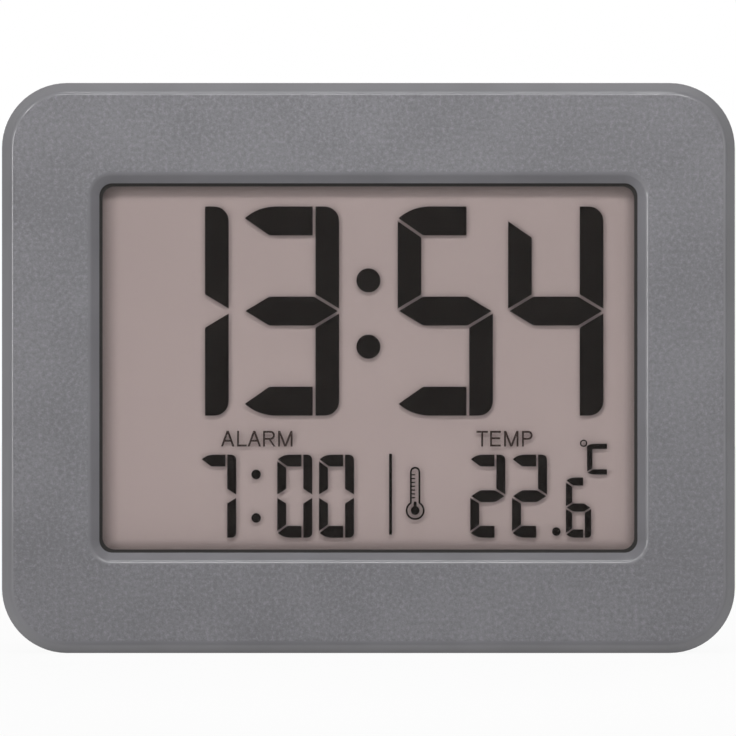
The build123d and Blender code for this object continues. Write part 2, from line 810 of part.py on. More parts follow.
# Rear cover: shell, locating rebate, screw tubes, battery bay, foot tub, hanger pocket and openings
with BuildPart() as rear_cover:
    with BuildSketch(depth_plane(bezel_depth)):
        RectangleRounded(case_width, case_height, case_corner_radius)
    extrude(amount=-(case_depth - bezel_depth))
    fillet(rear_cover.faces().sort_by(Axis.Y)[-1].edges(), radius=back_edge_radius)
    offset(amount=-case_wall, openings=rear_cover.faces().sort_by(Axis.Y)[0])
    chamfer(rear_cover.faces().sort_by(Axis.Y)[0].outer_wire().edges(), length=seam_chamfer)
    with BuildSketch(depth_plane(bezel_depth)):
        RectangleRounded(case_width - 2 * (case_wall - lip_thickness - lip_clearance),
                         case_height - 2 * (case_wall - lip_thickness - lip_clearance),
                         case_corner_radius - case_wall + lip_thickness + lip_clearance)
    extrude(amount=-(lip_height + lip_clearance), mode=Mode.SUBTRACT)

    with BuildSketch(depth_plane(boss_end)):
        with GridLocations(2 * case_screw_x, 2 * case_screw_rise, 2, 2):
            Circle(screw_tube_radius)
    extrude(amount=-(wall_root - boss_end))
    with BuildSketch(depth_plane(case_depth)):
        with GridLocations(2 * case_screw_x, 2 * case_screw_rise, 2, 2):
            Circle(screw_access_radius)
    extrude(amount=case_depth - screw_seat, mode=Mode.SUBTRACT)
    with BuildSketch(depth_plane(screw_seat)):
        with GridLocations(2 * case_screw_x, 2 * case_screw_rise, 2, 2):
            Circle(screw_hole_radius)
    extrude(amount=screw_floor, mode=Mode.SUBTRACT)

    with BuildSketch(depth_plane(bay_depth - bay_floor)):
        with Locations((0, bay_rise)):
            Rectangle(bay_length + 2 * bay_wall, bay_height + 2 * bay_wall)
    extrude(amount=-(wall_root - bay_depth + bay_floor))
    with BuildSketch(depth_plane(case_depth)):
        with Locations((0, bay_rise)):
            Rectangle(bay_length, bay_height)
    extrude(amount=case_depth - bay_depth, mode=Mode.SUBTRACT)
    with BuildSketch(depth_plane(case_depth)):
        with Locations((0, bay_rise)):
            Rectangle(opening_width, opening_top - opening_bottom)
    extrude(amount=door_thickness, mode=Mode.SUBTRACT)
    with BuildSketch(depth_plane(case_depth - door_thickness)):
        with Locations((0, (bay_top + opening_top) / 2)):
            with GridLocations(door_hook_spread, 1, 2, 1):
                Rectangle(door_hook_width + 2 * cell_clearance, door_ledge)
    extrude(amount=case_depth - door_thickness - notch_front, mode=Mode.SUBTRACT)
    with BuildSketch(depth_plane(inner_back)):
        with Locations((0, bay_top + bay_wall / 2)):
            with GridLocations(door_hook_spread, 1, 2, 1):
                Rectangle(door_hook_width + 2 * cell_clearance, bay_wall)
    extrude(amount=inner_back - notch_front, mode=Mode.SUBTRACT)
    with BuildSketch(side_plane(-bay_length / 2)):
        with Locations((cell_depth, bay_rise)):
            with GridLocations(1, 2 * cell_offset, 1, 2):
                Circle(lead_radius + lead_clearance)
    extrude(amount=-bay_wall, mode=Mode.SUBTRACT)

    with BuildSketch(depth_plane(foot_floor - tub_floor)):
        with Locations((0, recess_rise)):
            Rectangle(recess_width + 2 * tub_wall, recess_height + 2 * tub_wall)
        with Locations((0, recess_top + notch_height / 2)):
            Rectangle(notch_width + 2 * tub_wall, notch_height + 2 * tub_wall)
    extrude(amount=-(wall_root - foot_floor + tub_floor))
    with BuildSketch(depth_plane(case_depth)):
        with Locations((0, recess_rise)):
            Rectangle(recess_width, recess_height)
    extrude(amount=case_depth - foot_floor, mode=Mode.SUBTRACT)
    with BuildSketch(depth_plane(case_depth)):
        with Locations((0, recess_top)):
            RectangleRounded(notch_width, 2 * notch_height, 0.9 * notch_height)
    extrude(amount=notch_depth, mode=Mode.SUBTRACT)
    with BuildSketch(side_plane(-recess_width / 2 - tub_wall)):
        with Locations((foot_axis_depth, foot_hinge_height - case_height / 2)):
            Circle(pivot_radius + pivot_fit)
    extrude(amount=recess_width + 2 * tub_wall, mode=Mode.SUBTRACT)

    pocket_width = 2 * (keyhole_radius + pocket_margin)
    pocket_height = keyhole_slot_length + 2 * (keyhole_radius + pocket_margin)
    pocket_rise = keyhole_rise + keyhole_slot_length / 2
    with BuildSketch(depth_plane(inner_back - pocket_depth - pocket_wall)):
        with Locations((0, pocket_rise)):
            Rectangle(pocket_width + 2 * pocket_wall, pocket_height + 2 * pocket_wall)
    extrude(amount=-(pocket_depth + pocket_wall))
    with BuildSketch(depth_plane(inner_back)):
        with Locations((0, pocket_rise)):
            Rectangle(pocket_width, pocket_height)
    extrude(amount=pocket_depth, mode=Mode.SUBTRACT)
    with BuildSketch(depth_plane(case_depth)):
        with Locations((0, keyhole_rise)):
            Circle(keyhole_radius)
        with Locations((0, keyhole_rise + keyhole_slot_length / 2)):
            SlotCenterToCenter(keyhole_slot_length, keyhole_slot_width, rotation=90)
    extrude(amount=case_wall, mode=Mode.SUBTRACT)

    ring_reach = sounder_radius + lip_clearance
    with BuildSketch(depth_plane(sounder_depth)):
        with Locations((sounder_x, bay_rise)):
            Circle(ring_reach + sounder_ring_wall)
            Circle(ring_reach, mode=Mode.SUBTRACT)
    extrude(amount=-(wall_root - sounder_depth))
    with BuildSketch(depth_plane(inner_back - sounder_cavity)):
        with Locations((sounder_x, bay_rise)):
            Circle(ring_reach + sounder_ring_wall)
            Circle(ring_reach - 2 * sounder_ring_wall, mode=Mode.SUBTRACT)
    extrude(amount=-(sounder_cavity + case_wall / 2))
    with BuildSketch(depth_plane(case_depth)):
        with Locations((sounder_x, bay_rise)):
            Circle(sounder_hole_radius)
            with PolarLocations(sounder_hole_ring, 6):
                Circle(sounder_hole_radius)
        with Locations((sensor_x, bay_rise)):
            with GridLocations(1, vent_pitch, 1, vent_count):
                SlotOverall(vent_width, vent_height)
    extrude(amount=case_wall, mode=Mode.SUBTRACT)

    with BuildSketch(depth_plane(case_depth)):
        with Locations(*[(x, key_rise) for x in key_places.values()]):
            SlotOverall(key_width + 2 * key_clearance, key_height + 2 * key_clearance)
        with Locations((slot_middle, key_rise)):
            Rectangle(slider_travel + knob_width + 2 * key_clearance, knob_height + 2 * key_clearance)
    extrude(amount=case_wall, mode=Mode.SUBTRACT)
rear_cover.part.label = "rear_cover"
export_step(rear_cover.part, "parts/rear_cover.step")

# Sounder and its leads
with BuildPart() as piezo_sounder:
    with BuildSketch(depth_plane(sounder_depth)):
        with Locations((sounder_x, bay_rise)):
            Circle(sounder_radius)
    extrude(amount=-sounder_thickness)
    with BuildSketch(depth_plane(sounder_depth - ceramic_thickness)):
        with Locations((sounder_x, bay_rise)):
            Circle(ceramic_radius)
    extrude(amount=-ceramic_thickness)
piezo_sounder.part.label = "piezo_sounder"
export_step(piezo_sounder.part, "parts/piezo_sounder.step")

with BuildPart() as sounder_leads:
    bend_depth = sounder_depth - 3 * lead_bend
    ceramic_end = (-sounder_lead_offset, sounder_depth - ceramic_thickness, ceramic_radius / 2)
    brass_end = (sounder_lead_offset, sounder_depth, (ceramic_radius + sounder_radius) / 2)
    for offset_x, start, lift in (ceramic_end, brass_end):
        x = sounder_x + offset_x
        start_rise = bay_rise + lift
        with BuildLine() as route:
            FilletPolyline(point(x, start, start_rise), point(x, bend_depth, start_rise),
                           point(x, bend_depth, board_bottom + lead_standoff),
                           point(x, board_back, board_bottom + lead_standoff), radius=lead_bend)
        with BuildSketch(depth_plane(start)):
            with Locations((x, start_rise)):
                Circle(lead_radius)
        sweep(path=route.line)
sounder_leads.part.label = "sounder_leads"
export_step(sounder_leads.part, "parts/sounder_leads.step")

# Cells, contacts and battery leads
nub_end = -bay_end + contact_thickness + contact_dimple_height
with BuildPart() as upper_cell:
    with BuildSketch(side_plane(nub_end)):
        with Locations((cell_depth, bay_rise + cell_offset)):
            Circle(nub_radius)
    extrude(amount=nub_height)
    with BuildSketch(side_plane(nub_end + nub_height)):
        with Locations((cell_depth, bay_rise + cell_offset)):
            Circle(cell_diameter / 2)
    extrude(amount=cell_length - nub_height)
    fillet(upper_cell.edges().filter_by(GeomType.CIRCLE).sort_by(Edge.length)[-2:], radius=cell_edge_radius)
upper_cell.part.label = "upper_cell"
export_step(upper_cell.part, "parts/upper_cell.step")

with BuildPart() as lower_cell:
    with BuildSketch(side_plane(-nub_end)):
        with Locations((cell_depth, bay_rise - cell_offset)):
            Circle(nub_radius)
    extrude(amount=-nub_height)
    with BuildSketch(side_plane(-nub_end - nub_height)):
        with Locations((cell_depth, bay_rise - cell_offset)):
            Circle(cell_diameter / 2)
    extrude(amount=-(cell_length - nub_height))
    fillet(lower_cell.edges().filter_by(GeomType.CIRCLE).sort_by(Edge.length)[-2:], radius=cell_edge_radius)
lower_cell.part.label = "lower_cell"
export_step(lower_cell.part, "parts/lower_cell.step")

leaf_foot = bay_end - contact_thickness / 2
leaf_crest = bay_end - contact_thickness - leaf_room + contact_thickness / 2 + thread_clearance
with BuildPart() as positive_contact:
    with BuildSketch(side_plane(-bay_end)):
        with Locations((cell_depth, bay_rise + cell_offset)):
            Rectangle(contact_size, contact_size)
    extrude(amount=contact_thickness)
    with BuildSketch(side_plane(-bay_end + contact_thickness)):
        with Locations((cell_depth, bay_rise + cell_offset)):
            Circle(contact_dimple_radius)
    extrude(amount=contact_dimple_height)
positive_contact.part.label = "positive_contact"
export_step(positive_contact.part, "parts/positive_contact.step")

with BuildPart() as negative_contact:
    with BuildSketch(side_plane(-bay_end)):
        with Locations((cell_depth, bay_rise - cell_offset)):
            Rectangle(contact_size, contact_size)
    extrude(amount=contact_thickness)
    with BuildSketch(level_plane(bay_rise - cell_offset - leaf_width / 2)):
        with BuildLine():
            ThreePointArc((-leaf_foot, cell_depth - leaf_span / 2), (-leaf_crest, cell_depth),
                          (-leaf_foot + 2 * contact_thickness, cell_depth + leaf_span / 2))
        trace(line_width=contact_thickness)
    extrude(amount=leaf_width)
negative_contact.part.label = "negative_contact"
export_step(negative_contact.part, "parts/negative_contact.step")

with BuildPart() as bridge_contact:
    with BuildSketch(side_plane(bay_end)):
        with Locations((cell_depth, bay_rise)):
            Rectangle(contact_size, contact_size + 2 * cell_offset)
    extrude(amount=-contact_thickness)
    with BuildSketch(side_plane(bay_end - contact_thickness)):
        with Locations((cell_depth, bay_rise - cell_offset)):
            Circle(contact_dimple_radius)
    extrude(amount=-contact_dimple_height)
    with BuildSketch(level_plane(bay_rise + cell_offset - leaf_width / 2)):
        with BuildLine():
            ThreePointArc((leaf_foot, cell_depth - leaf_span / 2), (leaf_crest, cell_depth),
                          (leaf_foot - 2 * contact_thickness, cell_depth + leaf_span / 2))
        trace(line_width=contact_thickness)
    extrude(amount=leaf_width)
bridge_contact.part.label = "bridge_contact"
export_step(bridge_contact.part, "parts/bridge_contact.step")

lead_out = bay_end + bay_wall + lead_standoff
lead_rise = board_bottom + lead_standoff
with BuildPart() as positive_lead:
    with BuildLine() as route:
        FilletPolyline(point(-bay_end, cell_depth, bay_rise + cell_offset),
                       point(-lead_out, cell_depth, bay_rise + cell_offset),
                       point(-lead_out, cell_depth, lead_rise),
                       point(-lead_out, board_back, lead_rise), radius=lead_bend)
    with BuildSketch(side_plane(-bay_end)):
        with Locations((cell_depth, bay_rise + cell_offset)):
            Circle(lead_radius)
    sweep(path=route.line)
positive_lead.part.label = "positive_lead"
export_step(positive_lead.part, "parts/positive_lead.step")

with BuildPart() as negative_lead:
    with BuildLine() as route:
        FilletPolyline(point(-bay_end, cell_depth, bay_rise - cell_offset),
                       point(-lead_out - lead_standoff, cell_depth, bay_rise - cell_offset),
                       point(-lead_out - lead_standoff, cell_depth, lead_rise),
                       point(-lead_out - lead_standoff, board_back, lead_rise), radius=lead_bend)
    with BuildSketch(side_plane(-bay_end)):
        with Locations((cell_depth, bay_rise - cell_offset)):
            Circle(lead_radius)
    sweep(path=route.line)
negative_lead.part.label = "negative_lead"
export_step(negative_lead.part, "parts/negative_lead.step")

# Battery door: round bead on the hinge line, two hooks behind the wall, finger latch
with BuildPart() as battery_door:
    with BuildSketch(depth_plane(case_depth)):
        with Locations((0, (door_axis_rise + door_bottom) / 2)):
            Rectangle(door_width, door_axis_rise - door_bottom)
    extrude(amount=door_thickness)
    fillet(battery_door.edges().filter_by(Axis.Y).group_by(Axis.Z)[0], radius=door_corner_radius)
    with BuildSketch(side_plane(-door_width / 2)):
        with Locations((door_axis_depth, door_axis_rise)):
            Circle(door_bead)
    extrude(amount=door_width)
    for x in (-door_hook_spread / 2, door_hook_spread / 2):
        with BuildSketch(side_plane(x - door_hook_width / 2)):
            with BuildLine():
                Polyline((door_axis_depth, hook_bottom), (hook_inner, hook_bottom), (hook_inner, hook_top),
                         (hook_outer, hook_top), (hook_outer, door_axis_rise),
                         (door_axis_depth, door_axis_rise), close=True)
            make_face()
        extrude(amount=door_hook_width)
    with BuildSketch(depth_plane(case_depth)):
        with Locations((0, door_bottom + latch_length / 2)):
            with GridLocations(latch_width, 1, 2, 1):
                Rectangle(latch_slit, latch_length)
    extrude(amount=door_thickness, mode=Mode.SUBTRACT)
    with BuildSketch(depth_plane(case_depth)):
        with Locations((0, door_bottom + latch_length / 2)):
            with GridLocations(1, 2 * latch_slit, 1, 3):
                Rectangle(latch_width - 3 * latch_slit, latch_slit)
    extrude(amount=latch_groove_depth, mode=Mode.SUBTRACT)
    with BuildSketch(depth_plane(case_depth - door_thickness)):
        with Locations((0, door_bottom - door_gap + door_ledge + latch_nub_height)):
            Rectangle(latch_width - 3 * latch_slit, latch_nub_height)
    extrude(amount=latch_nub_height)
battery_door.part.label = "battery_door"
export_step(battery_door.part, "parts/battery_door.step")

# Keys: pill-shaped cap, flange behind the wall, stem down to the switch
for name, x in key_places.items():
    flange_back = inner_back - key_seat_gap
    flange_front = flange_back - key_flange_thickness
    with BuildPart() as key:
        with BuildSketch(depth_plane(flange_back)):
            with Locations((x, key_rise)):
                SlotOverall(key_width, key_height)
        extrude(amount=-(case_depth + key_proud - flange_back))
        fillet(key.faces().sort_by(Axis.Y)[-1].edges(), radius=0.5 * key_proud)
        with BuildSketch(depth_plane(flange_front)):
            with Locations((x, key_rise)):
                SlotOverall(key_flange_width, key_flange_height)
        extrude(amount=-key_flange_thickness)
        with BuildSketch(depth_plane(flange_front)):
            with Locations((x, key_rise)):
                Circle(key_stem_radius)
        extrude(amount=flange_front - plunger_end - key_travel - key_travel_spare)
    key.part.label = name
    export_step(key.part, f"parts/{name}.step")

with BuildPart() as alarm_slider:
    flange_back = inner_back - key_seat_gap
    flange_front = flange_back - key_flange_thickness
    with BuildSketch(depth_plane(flange_back)):
        with Locations((slider_x, key_rise)):
            Rectangle(knob_width, knob_height)
    extrude(amount=-(case_depth + knob_proud - flange_back))
    fillet(alarm_slider.faces().sort_by(Axis.Y)[-1].edges(), radius=0.3 * knob_proud)
    with BuildSketch(depth_plane(flange_front)):
        with Locations((slider_x, key_rise)):
            Rectangle(slider_flange_width, slider_flange_height)
    extrude(amount=-key_flange_thickness)
    with BuildSketch(depth_plane(flange_front)):
        with Locations((slider_x, key_rise)):
            Rectangle(slider_stem_width, slider_stem_height)
    extrude(amount=flange_front - slide_switch_back - 2 * key_seat_gap)
    with BuildSketch(depth_plane(slide_switch_back)):
        with Locations((slider_x, key_rise)):
            Rectangle(lever_size + 2 * lever_clearance, lever_size + 2 * lever_clearance)
    extrude(amount=-(lever_height + lever_clearance), mode=Mode.SUBTRACT)
alarm_slider.part.label = "alarm_slider"
export_step(alarm_slider.part, "parts/alarm_slider.step")

# Desk foot, folded out: ribbed plate, hinge barrel and two pivots
with BuildPart() as desk_foot:
    with BuildSketch(foot_plane(-foot_hinge_inset)) as outline:
        with BuildLine():
            Polyline((-foot_width / 2, 0), (foot_width / 2, 0), (foot_tip_width / 2, foot_length),
                     (-foot_tip_width / 2, foot_length), close=True)
        make_face()
        fillet(outline.vertices().group_by(Axis.Y)[-1], radius=foot_corner_radius)
    extrude(amount=foot_thickness)
    lower_face = desk_foot.faces().sort_by(SortBy.AREA)[-2:].sort_by(Axis.Z)[0]
    fillet(lower_face.edges().sort_by(Axis.Y)[1:], radius=foot_edge_radius)
    pocket_span = foot_tip_width - 2 * foot_corner_radius
    pocket_length = foot_length - 4 * foot_barrel_radius
    with BuildSketch(foot_plane(foot_thickness - foot_hinge_inset)):
        with Locations((0, foot_length / 2)):
            with GridLocations((pocket_span + foot_rib) / 3, 1, 3, 1):
                RectangleRounded((pocket_span - 2 * foot_rib) / 3, pocket_length, foot_rib)
    extrude(amount=-(foot_thickness - foot_skin), mode=Mode.SUBTRACT)
    with BuildSketch(side_plane(-foot_width / 2)):
        with Locations((foot_axis_depth, foot_hinge_height - case_height / 2)):
            Circle(foot_barrel_radius)
    extrude(amount=foot_width)
    with BuildSketch(side_plane(-recess_width / 2 - pivot_length)):
        with Locations((foot_axis_depth, foot_hinge_height - case_height / 2)):
            Circle(pivot_radius)
    extrude(amount=recess_width + 2 * pivot_length)
desk_foot.part.label = "desk_foot"
export_step(desk_foot.part, "parts/desk_foot.step")

with BuildPart() as case_screws:
    with BuildSketch(depth_plane(screw_seat)):
        with GridLocations(2 * case_screw_x, 2 * case_screw_rise, 2, 2):
            Circle(screw_head_radius)
    extrude(amount=-screw_head_height)
    with BuildSketch(depth_plane(screw_seat)):
        with GridLocations(2 * case_screw_x, 2 * case_screw_rise, 2, 2):
            Circle(screw_radius)
    extrude(amount=screw_length)
case_screws.part.label = "case_screws"
export_step(case_screws.part, "parts/case_screws.step")

print("foot opens", round(degrees(foot_angle) + 90, 3), "degrees")
print("foot axis", [round(v, 4) for v in point(0, foot_axis_depth, foot_hinge_height - case_height / 2)])
print("door axis", [round(v, 4) for v in point(0, door_axis_depth, door_axis_rise)])
print("keyhole", [round(v, 4) for v in point(0, case_depth, keyhole_rise)])
print("slider", [round(v, 4) for v in point(slider_x, case_depth, key_rise)])
print("foot recess", [round(v, 4) for v in point(0, foot_floor, recess_rise)], recess_width, recess_height)
print("lead bend radius", lead_bend)
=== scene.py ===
"""Looks of the segment-display desk clock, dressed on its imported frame.

Everything is in metres in the frame's own axes: X right as the display is read, Y from the face to
the back, Z up from the base. Colours are linear. An edge or reach of a finish is a pair: where it starts
and where it is full.
"""

import bpy
import numpy as np
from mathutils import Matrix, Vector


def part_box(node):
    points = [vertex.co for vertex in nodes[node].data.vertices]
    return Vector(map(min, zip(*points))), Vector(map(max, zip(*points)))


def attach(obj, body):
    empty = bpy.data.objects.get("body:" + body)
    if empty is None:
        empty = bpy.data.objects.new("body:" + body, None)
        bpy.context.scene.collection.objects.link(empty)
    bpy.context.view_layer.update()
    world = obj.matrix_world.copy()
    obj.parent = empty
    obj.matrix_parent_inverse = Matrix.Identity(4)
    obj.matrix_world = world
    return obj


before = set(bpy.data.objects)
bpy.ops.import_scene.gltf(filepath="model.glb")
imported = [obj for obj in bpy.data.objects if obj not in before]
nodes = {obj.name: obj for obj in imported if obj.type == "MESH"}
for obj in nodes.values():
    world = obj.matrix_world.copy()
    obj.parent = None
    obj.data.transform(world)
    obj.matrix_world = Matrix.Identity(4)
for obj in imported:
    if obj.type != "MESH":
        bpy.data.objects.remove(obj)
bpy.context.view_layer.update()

# Camera, square on to the face; the picture's width is measured at the rim
PICTURE_WIDTH = 0.18076
CAMERA_DISTANCE = 1.5
CAMERA_X = -0.0001
CAMERA_Z = 0.0700
RIM_Y = -0.0107
SENSOR_WIDTH = 36.0
CLIP_END = 50.0
CLEAR_LAYERS = 32

# Studio light; lamps in front aim at the face, a lamp behind at the back
WORLD_LEVEL = 0.02
FLOOR_SIZE = 8.0
FLOOR_TONE = (0.86, 0.86, 0.86)
FLOOR_FIBRE = 0.004
FLOOR_CONTRAST = 0.01
FLOOR_GLOW = 0.94
FLOOR_FILL = 0.12
WHITE = (1.0, 1.0, 1.0)
FACE_MIDDLE = (0.0, -0.015, 0.07)
BACK_MIDDLE = (0.0, 0.015, 0.07)
SOFTBOXES = {
    "top_light": {"place": (0.02, -0.30, 0.34), "size": (0.30, 0.07), "watts": 0.61},
    "high_light": {"place": (0.0, -0.12, 0.70), "size": (0.30, 0.12), "watts": 0.80},
    "left_light": {"place": (-0.85, -0.85, 0.22), "size": (0.12, 0.40), "watts": 2.10},
    "corner_light": {"place": (-0.55, -0.75, 0.60), "size": (0.14, 0.14), "watts": 0.90},
    "right_light": {"place": (0.85, -0.85, 0.22), "size": (0.12, 0.40), "watts": 0.50},
    "front_light": {"place": (0.0, -0.90, 0.12), "size": (0.50, 0.50), "watts": 0.74},
    "back_light": {"place": (0.10, 0.80, 0.50), "size": (0.50, 0.50), "watts": 5.5},
}

# Opening in the gasket that the panel is seen through
WINDOW_HALF_WIDTH = 0.06525
WINDOW_HALF_HEIGHT = 0.04455

# Spark-eroded plastics; mottle and grit make the relief, and broad clouds shift the tone
CASE_TEXTURE = {"color": (0.205, 0.202, 0.217), "size": 0.0010, "depth": 0.00005, "roughness": 0.26,
                "contrast": 0.18}
KEY_TEXTURE = {"color": (0.105, 0.104, 0.112), "size": 0.0004, "depth": 0.00002, "roughness": 0.45,
               "contrast": 0.07}
HOLDER_TEXTURE = {"color": (0.68, 0.68, 0.65), "size": 0.0005, "depth": 0.00002, "roughness": 0.5,
                  "contrast": 0.04}
MARK_TEXTURE = {"color": (0.42, 0.42, 0.43), "size": 0.0004, "depth": 0.00001, "roughness": 0.6,
                "contrast": 0.07}
GRIT_FINENESS = 3.5
GRIT_SHARE = 0.4
CLOUD_BREADTH = 20
CLOUD_SHARE = 0.2
RELIEF_TONES = (0.36, 0.64)
RELIEF_ROUGHNESS = 0.16
PLASTIC_SPECULAR = 0.3

# Bezel: depths behind the face of its smooth slopes and rubbed rounds, and where hands and wiping reach
SMOOTH_DEPTH = (0.00001, 0.00006)
SMOOTH_ROUGHNESS = 0.16
RUB_DEPTH = (0.00025, 0.00060)
RUB_REACH = (-0.018, -0.011)
SIDE_RUB = 0.75
TOP_RUB = 0.35
WIPE_NEAR = (0.0, 0.001)
WIPE_FAR = (0.006, 0.007)
WINDOW_RUB = 0.75

# Clear lens
LENS_INDEX = 1.10
LENS_HAZE = 0.012
LENS_TINT = (0.90, 0.92, 0.94)
LENS_ROUGHNESS = (0.02, 0.07)

# Reflector behind the panel
PANEL_GROUND = (0.478, 0.384, 0.369)
PANEL_GRAIN = 0.00035
PANEL_CLOUD = 0.02
PANEL_CLOUD_SHARE = 0.3
# Painted light on the panel: how much paler its colour gets per metre below the middle, to even out the
# lamps' light on it
PANEL_PAINTED_LIFT = 5.0
PANEL_TONES = (0.25, 0.75)
PANEL_CONTRAST = 0.045
# Painted shadow of the bezel on the panel: the colour's share at the window's edge, and the reach over
# which it lifts to full
PANEL_EDGE_SHADOW = 0.70
PANEL_EDGE_SHADOW_REACH = (0.0, 0.0028)
PANEL_ROUGHNESS = (0.55, 0.70)
PANEL_SPECULAR = 0.2
PANEL_RELIEF = 0.00001

# Finishes of one pattern: its size, the colours and roughness at its two ends, and its relief
PLAIN_FINISHES = {
    "gasket_foam": {"size": 0.0003, "celled": True, "dark": (0.012, 0.0108, 0.0102),
                    "pale": (0.044, 0.0396, 0.0374), "rough": (0.80, 0.95), "relief": 0.00005},
    "panel_glass": {"size": 0.02, "dark": (0.03, 0.04, 0.038), "pale": (0.06, 0.07, 0.068),
                    "rough": (0.04, 0.10), "even": {"Alpha": 0.006}},
    "polariser_film": {"size": 0.0002, "dark": (0.03, 0.026, 0.025), "pale": (0.05, 0.045, 0.043),
                       "rough": (0.35, 0.55), "even": {"Alpha": 0.012}},
    "seal_epoxy": {"size": 0.0004, "celled": True, "dark": (0.16, 0.15, 0.12), "pale": (0.27, 0.25, 0.21),
                   "rough": (0.3, 0.6)},
    "lit_segment": {"size": 0.004, "detail": 3.0, "dark": (0.0072, 0.00544, 0.00464),
                    "pale": (0.0117, 0.00884, 0.00754), "rough": (0.4, 0.5),
                    "even": {"Specular IOR Level": 0.04}},
    "fine_segment": {"size": 0.004, "detail": 3.0, "dark": (0.036, 0.024, 0.0216),
                     "pale": (0.0585, 0.039, 0.0351), "rough": (0.4, 0.5),
                     "even": {"Specular IOR Level": 0.04}},
    "chip_resin": {"size": 0.003, "dark": (0.006, 0.006, 0.006), "pale": (0.016, 0.015, 0.015),
                   "rough": (0.14, 0.34), "relief": 0.0002},
    "red_lead": {"size": 0.0012, "detail": 3.0, "dark": (0.2475, 0.009, 0.0075),
                 "pale": (0.396, 0.0144, 0.012), "rough": (0.32, 0.52), "relief": 0.00003},
    "black_lead": {"size": 0.0012, "detail": 3.0, "dark": (0.0075, 0.0075, 0.0075),
                   "pale": (0.012, 0.012, 0.012), "rough": (0.32, 0.52), "relief": 0.00003},
}

# Connector strip
LAYER_PITCH = 0.0002
LAYER_EDGE = (0.00004, 0.00006)
CARBON = (0.02, 0.02, 0.02)
CLEAR_RUBBER = (0.20, 0.20, 0.19)
RUBBER_ROUGHNESS = (0.5, 0.7)

# Circuit board
BOARD_GREEN = (0.012, 0.095, 0.035)
TRACK_GREEN = (0.03, 0.17, 0.06)
LANE_SIZE = 0.006
LANE_STRETCH = (0.35, 1.0, 1.6)
LANE_COUNT = 9.0
TRACK_EDGE = (0.22, 0.26)
TRACK_RELIEF = 0.00003
WEAVE_SIZE = 0.0006
MASK_ROUGHNESS = (0.25, 0.40)

# Drawn and rolled metals
NICKEL = (0.60, 0.585, 0.56)
ZINC = (0.46, 0.46, 0.47)
CAN_METAL = {"color": (0.60, 0.60, 0.62), "stretch": (1.0, 0.1, 1.0), "roughness": 0.3}
CONTACT_METAL = {"color": NICKEL, "stretch": (1.0, 0.1, 1.0), "roughness": 0.28}
SCREW_METAL = {"color": ZINC, "stretch": (1.0, 1.0, 1.0), "roughness": 0.35}
DRAW_SIZE = 0.0008
DRAW_TONES = (0.75, 1.2)
DRAW_ROUGHNESS = 0.25
DRAW_RELIEF = 0.00002
STAIN_SIZE = 0.005
STAIN_SHARE = 0.4

# Cross recess of the screw heads: half the slots' width, their reach, and depths below the heads' tops
SCREW_HEAD_RADIUS = 0.0024
SLOT_SIDE = (0.00028, 0.00036)
SLOT_END = (0.00125, 0.00135)
SLOT_FLOOR = (-0.0002, -0.0001)
# Painted shade of the recess: its dark colour, and how much less metallic it is made
SLOT_PAINTED_SHADE = (0.02, 0.02, 0.02)
SLOT_DULL = 0.9
SLOT_RELIEF = 0.0003
HEAD_GRAIN = 0.0008
HEAD_TONES = (0.8, 1.15)
HEAD_ROUGHNESS = (0.32, 0.52)

# Temperature sensor
BEAD_GREEN = (0.012, 0.045, 0.016)
BEAD_TOP = (0.0034, 0.0042)
BEAD_SLACK = 0.001
BEAD_ROUGHNESS = (0.2, 0.4)
TIN = (0.62, 0.62, 0.60)

# Switches
SWITCH_BLACK = (0.012, 0.012, 0.012)
PLUNGER_GREY = (0.09, 0.09, 0.09)
PLUNGER_FOOT = (-0.0008, -0.0007)
PLUNGER_SHARE = 0.75
SWITCH_GRIT = 0.0004
SWITCH_ROUGHNESS = (0.4, 0.6)
SWITCH_RELIEF = 0.00002

# Sounder
BRASS = (0.56, 0.37, 0.11)
BRASS_TONES = (0.7, 1.0)
CERAMIC = (0.62, 0.60, 0.54)
CERAMIC_EDGE = (0.0099, 0.0101)
DISC_RINGS = 0.0006
DISC_ROUGHNESS = (0.30, 0.55)

# Cells: edges are shares of the length from the nub
SLEEVE_BLUE = (0.033, 0.073, 0.147)
SLEEVE_PALE = (0.42, 0.43, 0.43)
NUB_END = (0.030, 0.032)
BAND_END = (0.285, 0.287)
LINE_START = (0.295, 0.297)
LINE_END = (0.303, 0.305)
FLAT_START = (0.984, 0.986)
FOIL_METAL = 0.15
BARE_METAL = 0.85
SCUFF_GREY = (0.30, 0.30, 0.30)
SCUFF_SIZE = 0.0015
SCUFF_STRETCH = (0.3, 1.0, 1.0)
SCUFF_EDGE = (0.55, 0.8)
SCUFF_SHARE = 0.35
SLEEVE_ROUGHNESS = (0.28, 0.53)
SLEEVE_RELIEF = 0.00003

# Words of the display; letters are in capital heights
ALARM_WORD = {"text": "ALARM", "starts": (0.0, 1.032, 1.699, 2.692, 3.654),
              "left": -0.03625, "width": 0.01761}
TEMP_WORD = {"text": "TEMP", "starts": (0.0, 0.872, 1.769, 2.917), "left": 0.02657, "width": 0.01380}
WORD_BASELINE = 0.0507
WORD_HEIGHT = 0.00385
LETTER_WIDTHS = {"A": 0.865, "E": 0.69, "L": 0.62, "M": 0.925, "P": 0.685, "R": 0.80, "T": 0.73}
STROKE = 0.125
LEANING_STROKE = 0.138
BOWL_FOOT = 0.43
BOWL_REACH = 0.95
BOWL_POINTS = 17
CROSSBAR = 0.305
MIDDLE_BAR = 0.465
MIDDLE_REACH = 0.95
LEG_HEAD = 0.37

